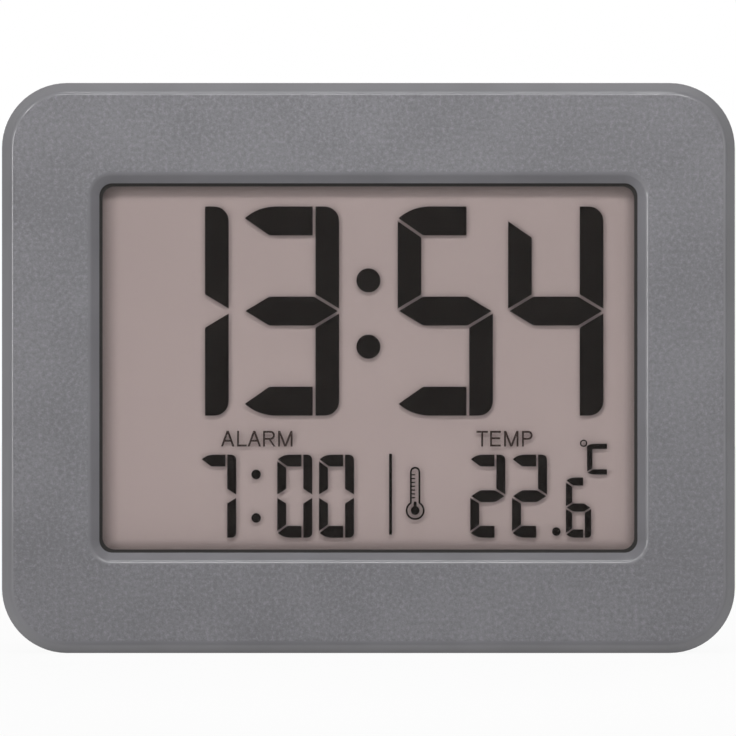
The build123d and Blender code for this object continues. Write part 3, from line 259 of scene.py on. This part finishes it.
# Thermometer sign
SIGN_X = 0.01149
SIGN_TOP = 0.04571
SIGN_LINE = 0.00045
TUBE_WIDTH = 0.00255
TUBE_POINTS = 25
BULB_Z = 0.03498
BULB_RADIUS = 0.00233
BULB_POINTS = 49
FILL_RADIUS = 0.00108
STEM_WIDTH = 0.00074
STEM_TOP = 0.0372
TICK_COUNT = 7
TICK_TOP = 0.04375
TICK_PITCH = 0.00094
TICK_LENGTH = 0.00104
TICK_LINE = 0.00030

# Raised marks on the back
LEGENDS = {"time_button": "TIME", "alarm_button": "ALARM", "unit_button": "°C/°F",
           "up_button": "UP", "down_button": "DOWN"}
MARK_RISE = 0.00018
MARK_HEIGHT = 0.0022
MARK_GAP = 0.0026
TEXT_SMOOTHNESS = 4
TEXT_HALF_DEPTH = 0.5
SWITCH_MARK_REACH = 0.0022
SWITCH_MARK_LIFT = 0.0056
SLIDE_TRAVEL = 0.0035


class Socket:
    """One socket of a node tree; operators on values add Math nodes."""

    def __init__(self, tree, socket=None):
        self.tree = tree
        self.socket = socket

    def node(self, kind, settings=None, sockets=None, output=0):
        """Adds a node, sets its settings, then its sockets' values or links, and returns one output."""
        made = self.tree.nodes.new("ShaderNode" + kind)
        for name, value in (settings or {}).items():
            setattr(made, name, value)
        for key, value in (sockets or {}).items():
            if isinstance(value, Socket):
                self.tree.links.new(value.socket, made.inputs[key])
            elif isinstance(value, tuple) and made.inputs[key].type == "RGBA":
                made.inputs[key].default_value = (*value, 1.0)
            else:
                made.inputs[key].default_value = value
        return Socket(self.tree, made.outputs[output] if len(made.outputs) else None)

    def math(self, operation, first, second=0.0):
        return self.node("Math", {"operation": operation}, {0: first, 1: second})

    def __add__(self, other):
        return self.math("ADD", self, other)

    def __radd__(self, other):
        return self.math("ADD", other, self)

    def __sub__(self, other):
        return self.math("SUBTRACT", self, other)

    def __rsub__(self, other):
        return self.math("SUBTRACT", other, self)

    def __mul__(self, other):
        return self.math("MULTIPLY", self, other)

    def __rmul__(self, other):
        return self.math("MULTIPLY", other, self)

    def __truediv__(self, other):
        return self.math("DIVIDE", self, other)

    def __rtruediv__(self, other):
        return self.math("DIVIDE", other, self)

    def __mod__(self, other):
        return self.math("FLOORED_MODULO", self, other)

    def __abs__(self):
        return self.math("ABSOLUTE", self)

    def step(self, low, high):
        """0 below low, 1 above high, smooth between them."""
        return self.node("MapRange", {"interpolation_type": "SMOOTHSTEP"},
                         {"Value": self, "From Min": low, "From Max": high})

    def between(self, low, high):
        """Runs from low to high as this value runs from 0 to 1."""
        return low + (high - low) * self

    def place(self):
        """The point's own place in the frame."""
        return self.node("TexCoord", output="Object")

    def axis(self, letter):
        """One coordinate of the point's place."""
        return self.node("SeparateXYZ", sockets={0: self.place()}, output=letter)

    def stretched(self, scale):
        """The point's place, stretched along each axis."""
        return self.node("Mapping", {"vector_type": "POINT"}, {"Vector": self.place(), "Scale": scale})

    def noise(self, size, detail=2.0, place=None):
        """Soft noise from 0 to 1 whose blotches are about one size across."""
        where = place if place else self.place()
        return self.node("TexNoise", sockets={"Vector": where, "Scale": 1 / size, "Detail": detail})

    def cells(self, size):
        """Distance inside rounded cells about one size across."""
        return self.node("TexVoronoi", {"feature": "SMOOTH_F1"},
                         {"Vector": self.place(), "Scale": 1 / size})

    def blend(self, factor, first, second):
        """Mixes two colours."""
        return self.node("Mix", {"data_type": "RGBA"}, {0: factor, 6: first, 7: second}, output=2)

    def bump(self, height, distance):
        """A normal bent by a height field."""
        return self.node("Bump", sockets={"Strength": 1.0, "Distance": distance, "Height": height},
                         output="Normal")


def shade(color, amount):
    """A colour times an amount."""
    return tuple(channel * amount for channel in color)


def tones(color, low, high):
    """The dark and the pale end of a colour."""
    return shade(color, low), shade(color, high)


def empty_tree(owner):
    """Clears the node tree of a material or a world and gives a socket to add nodes by."""
    owner.use_nodes = True
    owner.node_tree.nodes.clear()
    return Socket(owner.node_tree)


def material(name, paint):
    """A material whose Principled sockets are what paint gives."""
    made = bpy.data.materials.new(name)
    ground = empty_tree(made)
    shader = ground.node("BsdfPrincipled", sockets=paint(ground))
    ground.node("OutputMaterial", sockets={"Surface": shader})
    return made


def spark_eroded(ground, color, size, depth, roughness, contrast, cover=1.0):
    """Spark-eroded plastic, as far as cover goes: a mottled relief that also tints colour and roughness."""
    mottle = ground.noise(size, detail=3.0)
    grit = ground.noise(size / GRIT_FINENESS)
    cloud = ground.noise(CLOUD_BREADTH * size)
    relief = ((1 - GRIT_SHARE) * mottle + GRIT_SHARE * grit - 0.5) * cover
    tone = 0.5 + (1 - CLOUD_SHARE) * relief + CLOUD_SHARE * (cloud - 0.5)
    return {"Base Color": ground.blend(tone.step(*RELIEF_TONES), *tones(color, 1 - contrast, 1 + contrast)),
            "Roughness": roughness + RELIEF_ROUGHNESS * relief,
            "Specular IOR Level": PLASTIC_SPECULAR,
            "Normal": ground.bump(relief, depth)}


def moulded(**texture):
    """Plastic textured all over."""
    def paint(ground):
        return spark_eroded(ground, **texture)
    return paint


def bezel(ground):
    """Bezel plastic: textured on its flat face, smooth on its slopes, rubbed shiny along some rounds.

    Hands rub the outer round at the sides and top, and wiping the window rubs its lower and right rounds.
    """
    low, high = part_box("front_bezel")
    behind = ground.axis("Y") - low.y
    across = ground.axis("X") - (low.x + high.x) / 2
    upward = ground.axis("Z") - (low.z + high.z) / 2
    slope = behind.step(*SMOOTH_DEPTH)
    beside = abs(across) - (high.x - low.x) / 2
    above = upward - (high.z - low.z) / 2
    held = ground.math("MAXIMUM", SIDE_RUB * beside.step(*RUB_REACH), TOP_RUB * above.step(*RUB_REACH))
    outside = ground.math("MAXIMUM", across - WINDOW_HALF_WIDTH, -1.0 * upward - WINDOW_HALF_HEIGHT)
    wiped = outside.step(*WIPE_NEAR) - outside.step(*WIPE_FAR)
    handled = ground.math("MAXIMUM", held, WINDOW_RUB * wiped)
    sockets = spark_eroded(ground, **CASE_TEXTURE, cover=1 - slope)
    sockets["Roughness"] = slope.between(sockets["Roughness"], SMOOTH_ROUGHNESS)
    sockets["Coat Weight"] = handled * slope * (1 - behind.step(*RUB_DEPTH))
    sockets["Coat Roughness"] = SMOOTH_ROUGHNESS
    return sockets


def clear_lens(ground):
    """Clear sheet: see-through apart from a weak mirror that grows at a slant, on its outer faces only."""
    mirror = ground.node("Fresnel", sockets={"IOR": LENS_INDEX})
    inside = ground.node("NewGeometry", output="Backfacing")
    haze = ground.noise(LENS_HAZE, detail=3.0)
    return {"Base Color": ground.blend(haze, LENS_TINT, WHITE),
            "Metallic": 1.0,
            "Roughness": haze.between(*LENS_ROUGHNESS),
            "Alpha": mirror * (1 - inside)}


def reflector(ground):
    """Satin film: warm grey with a fine grain, painted a little paler low down to even out the lamps'
    light, and painted darker towards the window's edge as the bezel's shadow.
    """
    low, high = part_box("lens_gasket")
    middle = (low + high) / 2
    grain = ground.noise(PANEL_GRAIN, detail=3.0)
    cloud = ground.noise(PANEL_CLOUD)
    # painted light: the panel's colour is made paler low down and darker high up, to even out the lamps'
    # light on it
    lean = PANEL_PAINTED_LIFT * (middle.z - ground.axis("Z"))
    tone = (1 - PANEL_CLOUD_SHARE) * grain + PANEL_CLOUD_SHARE * cloud + lean
    across = WINDOW_HALF_WIDTH - abs(ground.axis("X") - middle.x)
    upward = WINDOW_HALF_HEIGHT - abs(ground.axis("Z") - middle.z)
    # painted shadow: the colour darkens towards the window's edge, where the bezel shades the panel
    clear_of_edge_shadow = ground.math("MINIMUM", across, upward).step(*PANEL_EDGE_SHADOW_REACH)
    bright = ground.blend(tone.step(*PANEL_TONES),
                          *tones(PANEL_GROUND, 1 - PANEL_CONTRAST, 1 + PANEL_CONTRAST))
    return {"Base Color": ground.blend(clear_of_edge_shadow, shade(PANEL_GROUND, PANEL_EDGE_SHADOW), bright),
            "Roughness": grain.between(*PANEL_ROUGHNESS),
            "Specular IOR Level": PANEL_SPECULAR,
            "Normal": ground.bump(grain, PANEL_RELIEF)}


def plain(size, dark, pale, rough, detail=2.0, celled=False, relief=0.0, even=None):
    """One pattern, soft or celled, takes colour from dark to pale and roughness from end to end."""
    def paint(ground):
        pattern = ground.cells(size) if celled else ground.noise(size, detail)
        sockets = {"Base Color": ground.blend(pattern, dark, pale), "Roughness": pattern.between(*rough)}
        if relief:
            sockets["Normal"] = ground.bump(pattern, relief)
        return {**sockets, **(even or {})}
    return paint


def connector(ground):
    """Layered rubber: thin carbon layers between clear ones, along the strip."""
    layer = abs(ground.axis("X") % LAYER_PITCH - LAYER_PITCH / 2)
    stripe = layer.step(*LAYER_EDGE)
    return {"Base Color": ground.blend(stripe, CARBON, CLEAR_RUBBER),
            "Roughness": stripe.between(*RUBBER_ROUGHNESS)}


def board(ground):
    """Solder mask over copper tracks that run in lanes, with weave under it."""
    lane = ground.noise(LANE_SIZE, detail=0.0, place=ground.stretched(LANE_STRETCH))
    track = abs(lane * LANE_COUNT % 1.0 - 0.5).step(*TRACK_EDGE)
    weave = ground.noise(WEAVE_SIZE, detail=1.0)
    return {"Base Color": ground.blend(track, BOARD_GREEN, TRACK_GREEN),
            "Roughness": weave.between(*MASK_ROUGHNESS),
            "Normal": ground.bump(track, TRACK_RELIEF)}


def drawn_metal(color, stretch, roughness):
    """Metal with fine lines along its drawing or rolling direction."""
    def paint(ground):
        lines = ground.noise(DRAW_SIZE, detail=3.0, place=ground.stretched(stretch))
        stain = ground.noise(STAIN_SIZE, detail=3.0)
        tone = (1 - STAIN_SHARE) * lines + STAIN_SHARE * stain
        return {"Base Color": ground.blend(tone, *tones(color, *DRAW_TONES)),
                "Metallic": 1.0,
                "Roughness": roughness + DRAW_ROUGHNESS * (lines - 0.5),
                "Normal": ground.bump(lines, DRAW_RELIEF)}
    return paint


def cross_head(node):
    """Zinc screws whose heads have a cross recess, two slots across each head's centre, painted dark as the
    shade inside it.
    """
    def paint(ground):
        low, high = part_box(node)
        middle = (low + high) / 2
        across = abs(abs(ground.axis("X") - middle.x) - (high.x - low.x) / 2 + SCREW_HEAD_RADIUS)
        upward = abs(abs(ground.axis("Z") - middle.z) - (high.z - low.z) / 2 + SCREW_HEAD_RADIUS)
        narrow = ground.math("MINIMUM", across, upward)
        wide = ground.math("MAXIMUM", across, upward)
        at_top = (ground.axis("Y") - high.y).step(*SLOT_FLOOR)
        slot = (1 - narrow.step(*SLOT_SIDE)) * (1 - wide.step(*SLOT_END)) * at_top
        grain = ground.noise(HEAD_GRAIN, detail=3.0)
        plated = ground.blend(grain, *tones(ZINC, *HEAD_TONES))
        # painted shade: the recess is coloured dark and dull for the shade inside it; the bump gives its
        # relief
        return {"Base Color": ground.blend(slot, plated, SLOT_PAINTED_SHADE),
                "Metallic": 1 - SLOT_DULL * slot,
                "Roughness": grain.between(*HEAD_ROUGHNESS),
                "Normal": ground.bump(1 - slot, SLOT_RELIEF)}
    return paint


def sensor(ground):
    """Dipped bead below, tinned legs above it."""
    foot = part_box("temperature_sensor")[0].z
    legs = (ground.axis("Z") - foot).step(*BEAD_TOP)
    slack = ground.noise(BEAD_SLACK)
    return {"Base Color": ground.blend(legs, BEAD_GREEN, TIN),
            "Metallic": legs,
            "Roughness": slack.between(*BEAD_ROUGHNESS)}


def switch(ground):
    """Black switch bodies, each with a paler plunger or lever at its back."""
    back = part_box("key_switches")[1].y
    tip = (ground.axis("Y") - back).step(*PLUNGER_FOOT)
    grit = ground.noise(SWITCH_GRIT)
    tone = PLUNGER_SHARE * tip + (1 - PLUNGER_SHARE) * grit
    return {"Base Color": ground.blend(tone, SWITCH_BLACK, PLUNGER_GREY),
            "Roughness": grit.between(*SWITCH_ROUGHNESS),
            "Normal": ground.bump(grit, SWITCH_RELIEF)}


def sounder(ground):
    """Brass disc with a pale ceramic coating inside its rim."""
    low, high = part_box("piezo_sounder")
    middle = (low + high) / 2
    across = ground.axis("X") - middle.x
    upward = ground.axis("Z") - middle.z
    radius = ground.math("SQRT", across * across + upward * upward)
    rim = radius.step(*CERAMIC_EDGE)
    rings = ground.noise(DISC_RINGS)
    bare = ground.blend(rings, *tones(BRASS, *BRASS_TONES))
    return {"Base Color": ground.blend(rim, CERAMIC, bare),
            "Metallic": rim,
            "Roughness": rings.between(*DISC_ROUGHNESS)}


def cell_sleeve(node, nub_at_left):
    """Cell: plain blue-grey sleeve, a pale band and line at its nub end, bare metal at both ends."""
    def paint(ground):
        low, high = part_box(node)
        from_nub = ground.axis("X") - low.x if nub_at_left else high.x - ground.axis("X")
        along = from_nub / (high.x - low.x)
        band = 1 - along.step(*BAND_END)
        bare = (1 - along.step(*NUB_END)) + along.step(*FLAT_START)
        line = along.step(*LINE_START) - along.step(*LINE_END)
        scuff = ground.noise(SCUFF_SIZE, detail=4.0, place=ground.stretched(SCUFF_STRETCH))
        foil = ground.blend(band, SLEEVE_BLUE, SLEEVE_PALE)
        lined = ground.blend(line, foil, SLEEVE_PALE)
        worn = ground.blend(SCUFF_SHARE * scuff.step(*SCUFF_EDGE), lined, SCUFF_GREY)
        return {"Base Color": ground.blend(bare, worn, NICKEL),
                "Metallic": FOIL_METAL * band + BARE_METAL * bare,
                "Roughness": scuff.between(*SLEEVE_ROUGHNESS),
                "Normal": ground.bump(scuff, SLEEVE_RELIEF)}
    return paint


def plain_material(name):
    """A material of one of the plain finishes."""
    return material(name, plain(**PLAIN_FINISHES[name]))


def dress(finish, *names):
    """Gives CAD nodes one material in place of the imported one."""
    for name in names:
        slots = nodes[name].data.materials
        slots.clear()
        slots.append(finish)


dress(material("bezel_plastic", bezel), "front_bezel")
dress(material("case_plastic", moulded(**CASE_TEXTURE)), "rear_cover", "battery_door", "desk_foot")
dress(material("key_plastic", moulded(**KEY_TEXTURE)), *LEGENDS, "alarm_slider")
dress(material("clear_lens", clear_lens), "display_lens")
dress(plain_material("gasket_foam"), "lens_gasket")
dress(plain_material("panel_glass"), "lcd_front_glass", "lcd_rear_glass")
dress(plain_material("polariser_film"), "lcd_front_polariser")
dress(material("reflector_film", reflector), "lcd_reflector")
dress(plain_material("seal_epoxy"), "lcd_edge_seal")
lit_segment = plain_material("lit_segment")
fine_segment = plain_material("fine_segment")
dress(lit_segment, "time_digits", "time_colon", "alarm_digits", "temperature_digits", "degree_unit",
      "display_divider")
dress(material("holder_plastic", moulded(**HOLDER_TEXTURE)), "lcd_holder")
dress(material("connector_rubber", connector), "connector_strip")
dress(material("board_mask", board), "main_board")
dress(plain_material("chip_resin"), "controller_chip")
dress(material("drawn_can", drawn_metal(**CAN_METAL)), "quartz_crystal", "capacitors")
dress(material("sensor_bead", sensor), "temperature_sensor")
dress(material("switch_body", switch), "key_switches", "alarm_switch", "alarm_switch_lever")
dress(material("sounder_disc", sounder), "piezo_sounder")
dress(plain_material("red_lead"), "positive_lead")
dress(plain_material("black_lead"), "negative_lead", "sounder_leads")
dress(material("upper_cell_sleeve", cell_sleeve("upper_cell", nub_at_left=True)), "upper_cell")
dress(material("lower_cell_sleeve", cell_sleeve("lower_cell", nub_at_left=False)), "lower_cell")
dress(material("contact_nickel", drawn_metal(**CONTACT_METAL)),
      "positive_contact", "negative_contact", "bridge_contact")
dress(material("screw_zinc", drawn_metal(**SCREW_METAL)), "board_screws")
for screws in ("case_screws", "holder_screws"):
    dress(material(screws + "_zinc", cross_head(screws)), screws)
raised_mark = material("raised_mark", moulded(**MARK_TEXTURE))


def piece(name, points, faces, finish, slot):
    """A mesh piece at the origin with its place in its mesh, riding on the case."""
    mesh = bpy.data.meshes.new(name)
    mesh.from_pydata(points.tolist(), [], faces)
    mesh.materials.append(finish)
    mesh.validate()
    made = bpy.data.objects.new(name, mesh)
    bpy.context.scene.collection.objects.link(made)
    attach(made, "case")


def facing_front(flat, front, back):
    """Outline points (x, z) twice: first on the front plane, then on the back plane."""
    ahead = np.column_stack([flat[:, 0], np.full(len(flat), front), flat[:, 1]])
    behind = ahead.copy()
    behind[:, 1] = back
    return np.vstack([ahead, behind])


def plate(flat, front, back, start):
    """A closed outline, anticlockwise from the front, carried from the front plane to the back plane.

    Its points are numbered from start on.
    """
    count = len(flat)
    ring = np.arange(count)
    following = (ring + 1) % count
    sides = np.column_stack([ring, ring + count, following + count, following]) + start
    caps = [(ring + start).tolist(), (ring[::-1] + count + start).tolist()]
    return facing_front(flat, front, back), sides.tolist() + caps


def plates(flats, front, back, points, faces):
    """Adds a plate for each outline to a mesh's points and faces."""
    for flat in flats:
        more, sides = plate(flat, front, back, len(points))
        points = np.vstack([points, more])
        faces = faces + sides
    return points, faces


def ribbon(flat, width, front, back):
    """A rectangular profile of one width carried round a closed outline, anticlockwise from the front.

    The rings stand half the width to either side of the outline, along its normals.
    """
    count = len(flat)
    tangent = np.roll(flat, -1, axis=0) - np.roll(flat, 1, axis=0)
    tangent /= np.linalg.norm(tangent, axis=1)[:, None]
    outward = np.column_stack([tangent[:, 1], -tangent[:, 0]])
    outer = facing_front(flat + outward * width / 2, front, back)
    inner = facing_front(flat - outward * width / 2, front, back)
    ring = np.arange(count)
    following = (ring + 1) % count
    corners = [0, count, 3 * count, 2 * count]
    faces = [np.column_stack([ring + here, ring + there, following + there, following + here])
             for here, there in zip(corners, np.roll(corners, -1))]
    return np.vstack([outer, inner]), np.vstack(faces).tolist()


def flask(half_width, top, bulb_radius):
    """Outline of a round-topped tube on a bulb, anticlockwise from the front.

    The tube's half circle runs from 0 to 180 degrees, and the bulb's arc from the tube's left side round
    below to its right side.
    """
    turn = np.linspace(0.0, np.pi, TUBE_POINTS)
    cap = np.column_stack([half_width * np.cos(turn), top - half_width + half_width * np.sin(turn)])
    join = np.arcsin(half_width / bulb_radius)
    sweep = np.linspace(np.pi / 2 + join, 5 * np.pi / 2 - join, BULB_POINTS)
    bulb = np.column_stack([bulb_radius * np.cos(sweep), BULB_Z + bulb_radius * np.sin(sweep)])
    return np.vstack([cap, bulb]) + (SIGN_X, 0.0)


def thermometer(front, back):
    """The thermometer sign: outlined flask, filled stem and bulb, tick marks from the left wall."""
    wall = TUBE_WIDTH / 2 - SIGN_LINE / 2
    outline = flask(wall, SIGN_TOP - SIGN_LINE / 2, BULB_RADIUS - SIGN_LINE / 2)
    filled = flask(STEM_WIDTH / 2, STEM_TOP, FILL_RADIUS)
    tick = np.array([[0.0, -0.5], [1.0, -0.5], [1.0, 0.5], [0.0, 0.5]]) * (TICK_LENGTH, TICK_LINE)
    ticks = [tick + (SIGN_X - wall, TICK_TOP - k * TICK_PITCH) for k in range(TICK_COUNT)]
    return plates([filled] + ticks, front, back, *ribbon(outline, SIGN_LINE, front, back))


def leaning(foot, head, width, low=0.0, high=1.0):
    """A straight stroke with level ends: its left side runs from foot, at the low end, to head."""
    return np.array([[foot, low], [foot + width, low], [head + width, high], [head, high]])


def level(left, right, low):
    """A level stroke that stands on a height."""
    return leaning(left, left, right - left, low, low + STROKE)


def bowl(right):
    """Round of a P or R: out level from the stem, a half ring to the right, and level back."""
    radius = (1 - BOWL_FOOT) / 2
    turn = np.linspace(-np.pi / 2, np.pi / 2, BOWL_POINTS)
    ring = np.column_stack([np.cos(turn), np.sin(turn)])
    middle = np.array([right - radius, 1 - radius])
    outer = middle + radius * ring
    inner = middle + (radius - STROKE) * ring[::-1]
    heights = (BOWL_FOOT, 1.0, 1 - STROKE, BOWL_FOOT + STROKE)
    at_stem = np.array([[STROKE, height] for height in heights])
    return np.vstack([at_stem[:1], outer, at_stem[1:3], inner, at_stem[3:]])


def letter_a(width):
    """Two legs that meet on the middle line, and a crossbar between their inner sides."""
    half = width / 2
    lean = half - LEANING_STROKE / 2
    meet = (half - LEANING_STROKE) / lean
    leg = np.array([[0.0, 0.0], [LEANING_STROKE, 0.0], [half, meet], [half, 1.0], [lean, 1.0]])
    inside = [(LEANING_STROKE + lean * height, height) for height in (CROSSBAR, CROSSBAR + STROKE)]
    (low_x, low), (high_x, high) = inside
    bar = np.array([[low_x, low], [width - low_x, low], [width - high_x, high], [high_x, high]])
    return [leg, leg[::-1] * (-1.0, 1.0) + (width, 0.0), bar]


def letter_m(width):
    """One outline: two stems, and two diagonals between them that come down to the baseline."""
    half = width / 2
    lean = half - LEANING_STROKE / 2
    shoulder = 1 - STROKE / lean
    notch = 1 - (half - LEANING_STROKE) / lean
    left = np.array([[half, notch], [LEANING_STROKE, 1.0], [0.0, 1.0], [0.0, 0.0], [STROKE, 0.0],
                     [STROKE, shoulder], [lean, 0.0]])
    return [np.vstack([left, left[:0:-1] * (-1.0, 1.0) + (width, 0.0)])]


def capital(letter):
    """Closed outlines of a plain capital's strokes, anticlockwise, in capital heights."""
    width = LETTER_WIDTHS[letter]
    if letter == "A":
        return letter_a(width)
    if letter == "M":
        return letter_m(width)
    head = level(0.0, width, 1 - STROKE)
    if letter == "T":
        middle = (width - STROKE) / 2
        return [head, leaning(middle, middle, STROKE, 0.0, 1 - STROKE)]
    foot = level(STROKE, width, 0.0)
    leg = leaning(width - LEANING_STROKE, LEG_HEAD, LEANING_STROKE, 0.0, BOWL_FOOT)
    arms = {"L": [foot],
            "P": [bowl(width)],
            "R": [bowl(BOWL_REACH * width), leg],
            "E": [foot, level(STROKE, MIDDLE_REACH * width, MIDDLE_BAR), level(STROKE, width, 1 - STROKE)]}
    return [leaning(0.0, 0.0, STROKE)] + arms[letter]


def word(name, text, starts, left, width, front, back):
    """A word of the display: its capitals' strokes as plates, stretched to the word's width and height."""
    flats = [flat + (start, 0.0) for letter, start in zip(text, starts) for flat in capital(letter)]
    span = starts[-1] + LETTER_WIDTHS[text[-1]]
    placed = [flat * (width / span, WORD_HEIGHT) + (left, WORD_BASELINE) for flat in flats]
    points, faces = plates(placed, front, back, np.empty((0, 3)), [])
    piece(name, points, faces, fine_segment, "lit_segment")


segment_low, segment_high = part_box("time_digits")
word("alarm_word", **ALARM_WORD, front=segment_low.y, back=segment_high.y)
word("temperature_word", **TEMP_WORD, front=segment_low.y, back=segment_high.y)
piece("thermometer_sign", *thermometer(segment_low.y, segment_high.y), lit_segment, "lit_segment")


def lettering(text):
    """Points and faces of a solid word in the plain built-in face, standing in X and Z and facing -Y."""
    curve = bpy.data.curves.new(text, "FONT")
    curve.body = text
    curve.resolution_u = TEXT_SMOOTHNESS
    curve.extrude = TEXT_HALF_DEPTH
    holder = bpy.data.objects.new(text, curve)
    bpy.context.scene.collection.objects.link(holder)
    bpy.context.view_layer.update()
    mesh = bpy.data.meshes.new_from_object(holder.evaluated_get(bpy.context.evaluated_depsgraph_get()))
    flat = np.empty(3 * len(mesh.vertices))
    mesh.vertices.foreach_get("co", flat)
    faces = [tuple(polygon.vertices) for polygon in mesh.polygons]
    bpy.data.objects.remove(holder)
    bpy.data.curves.remove(curve)
    bpy.data.meshes.remove(mesh)
    flat = flat.reshape(-1, 3)
    return np.column_stack([flat[:, 0], -flat[:, 2], flat[:, 1]]), faces


def back_mark(name, text, x, z):
    """A raised word on the back of the case, centred on x and z.

    The word is brought to a unit box, scaled to its height and rise, and turned half round to face back.
    """
    points, faces = lettering(text)
    low = points.min(axis=0)
    size = points.max(axis=0) - low
    unit = (points - low) / size - (0.5, 0.0, 0.5)
    scaled = unit * (size[0] / size[2] * MARK_HEIGHT, MARK_RISE, MARK_HEIGHT)
    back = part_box("battery_door")[1].y
    turned = scaled * (-1.0, -1.0, 1.0) + (x, back + MARK_RISE, z)
    piece(name, turned, faces, raised_mark, "case_grey")


for key, legend in LEGENDS.items():
    low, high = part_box(key)
    back_mark(key + "_mark", legend, (low.x + high.x) / 2, low.z - MARK_GAP)
low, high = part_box("alarm_slider")
middle = (low + high) / 2
on_x = middle.x + SLIDE_TRAVEL
back_mark("alarm_off_mark", "OFF", middle.x - SWITCH_MARK_REACH, middle.z + SWITCH_MARK_LIFT)
back_mark("alarm_on_mark", "ON", on_x + SWITCH_MARK_REACH, middle.z + SWITCH_MARK_LIFT)
back_mark("alarm_slide_mark", "ALARM", (middle.x + on_x) / 2, middle.z - SWITCH_MARK_LIFT)


def seen_by_eye(ground):
    """1 for rays from the camera, mirrors and glass, 0 for the light that falls on things."""
    path = [ground.node("LightPath", output=name)
            for name in ("Is Camera Ray", "Is Glossy Ray", "Is Transmission Ray")]
    return ground.math("MINIMUM", path[0] + path[1] + path[2], 1.0)


def make_floor():
    """A pale floor that keeps the shadow and fades into the white behind it."""
    half = FLOOR_SIZE / 2
    corners = np.array([[-half, -half, 0.0], [half, -half, 0.0], [half, half, 0.0], [-half, half, 0.0]])
    mesh = bpy.data.meshes.new("floor")
    mesh.from_pydata(corners.tolist(), [], [(0, 1, 2, 3)])
    floor = bpy.data.objects.new("floor", mesh)
    bpy.context.scene.collection.objects.link(floor)
    made = bpy.data.materials.new("floor_paper")
    ground = empty_tree(made)
    fibre = ground.noise(FLOOR_FIBRE)
    color = ground.blend(fibre, *tones(FLOOR_TONE, 1 - FLOOR_CONTRAST, 1 + FLOOR_CONTRAST))
    paper = ground.node("BsdfDiffuse", sockets={"Color": color})
    glow = ground.node("Emission", sockets={"Color": WHITE, "Strength": 1.0})
    share = seen_by_eye(ground).between(FLOOR_FILL, FLOOR_GLOW)
    mixed = ground.node("MixShader", sockets={0: share, 1: paper, 2: glow})
    ground.node("OutputMaterial", sockets={"Surface": mixed})
    mesh.materials.append(made)


def make_world():
    """Even soft light, white where it is looked at."""
    world = bpy.data.worlds.new("studio")
    ground = empty_tree(world)
    strength = seen_by_eye(ground).between(WORLD_LEVEL, 1.0)
    sky = ground.node("Background", sockets={"Color": WHITE, "Strength": strength})
    ground.node("OutputWorld", sockets={"Surface": sky})
    bpy.context.scene.world = world


def softbox(name, place, size, watts):
    """A rectangular area light at a place, turned to the clock; size is its width and height."""
    light = bpy.data.lights.new(name, "AREA")
    light.shape = "RECTANGLE"
    light.size, light.size_y = size
    light.energy = watts
    lamp = bpy.data.objects.new(name, light)
    lamp.location = place
    aim = FACE_MIDDLE if place[1] < 0 else BACK_MIDDLE
    toward = np.array(aim) - np.array(place)
    lamp.rotation_euler = Vector(toward).to_track_quat("-Z", "Y").to_euler()
    bpy.context.scene.collection.objects.link(lamp)


def make_camera():
    """A long lens square on to the face."""
    camera = bpy.data.cameras.new("camera")
    camera.sensor_width = SENSOR_WIDTH
    camera.lens = SENSOR_WIDTH * CAMERA_DISTANCE / PICTURE_WIDTH
    camera.clip_end = CLIP_END
    eye = bpy.data.objects.new("camera", camera)
    eye.location = (CAMERA_X, RIM_Y - CAMERA_DISTANCE, CAMERA_Z)
    eye.rotation_euler = (np.pi / 2, 0.0, 0.0)
    bpy.context.scene.collection.objects.link(eye)
    bpy.context.scene.camera = eye


make_floor()
make_world()
for lamp_name, lamp in SOFTBOXES.items():
    softbox(lamp_name, **lamp)
make_camera()

scene = bpy.context.scene
scene.view_settings.view_transform = "Standard"
scene.cycles.transparent_max_bounces = CLEAR_LAYERS
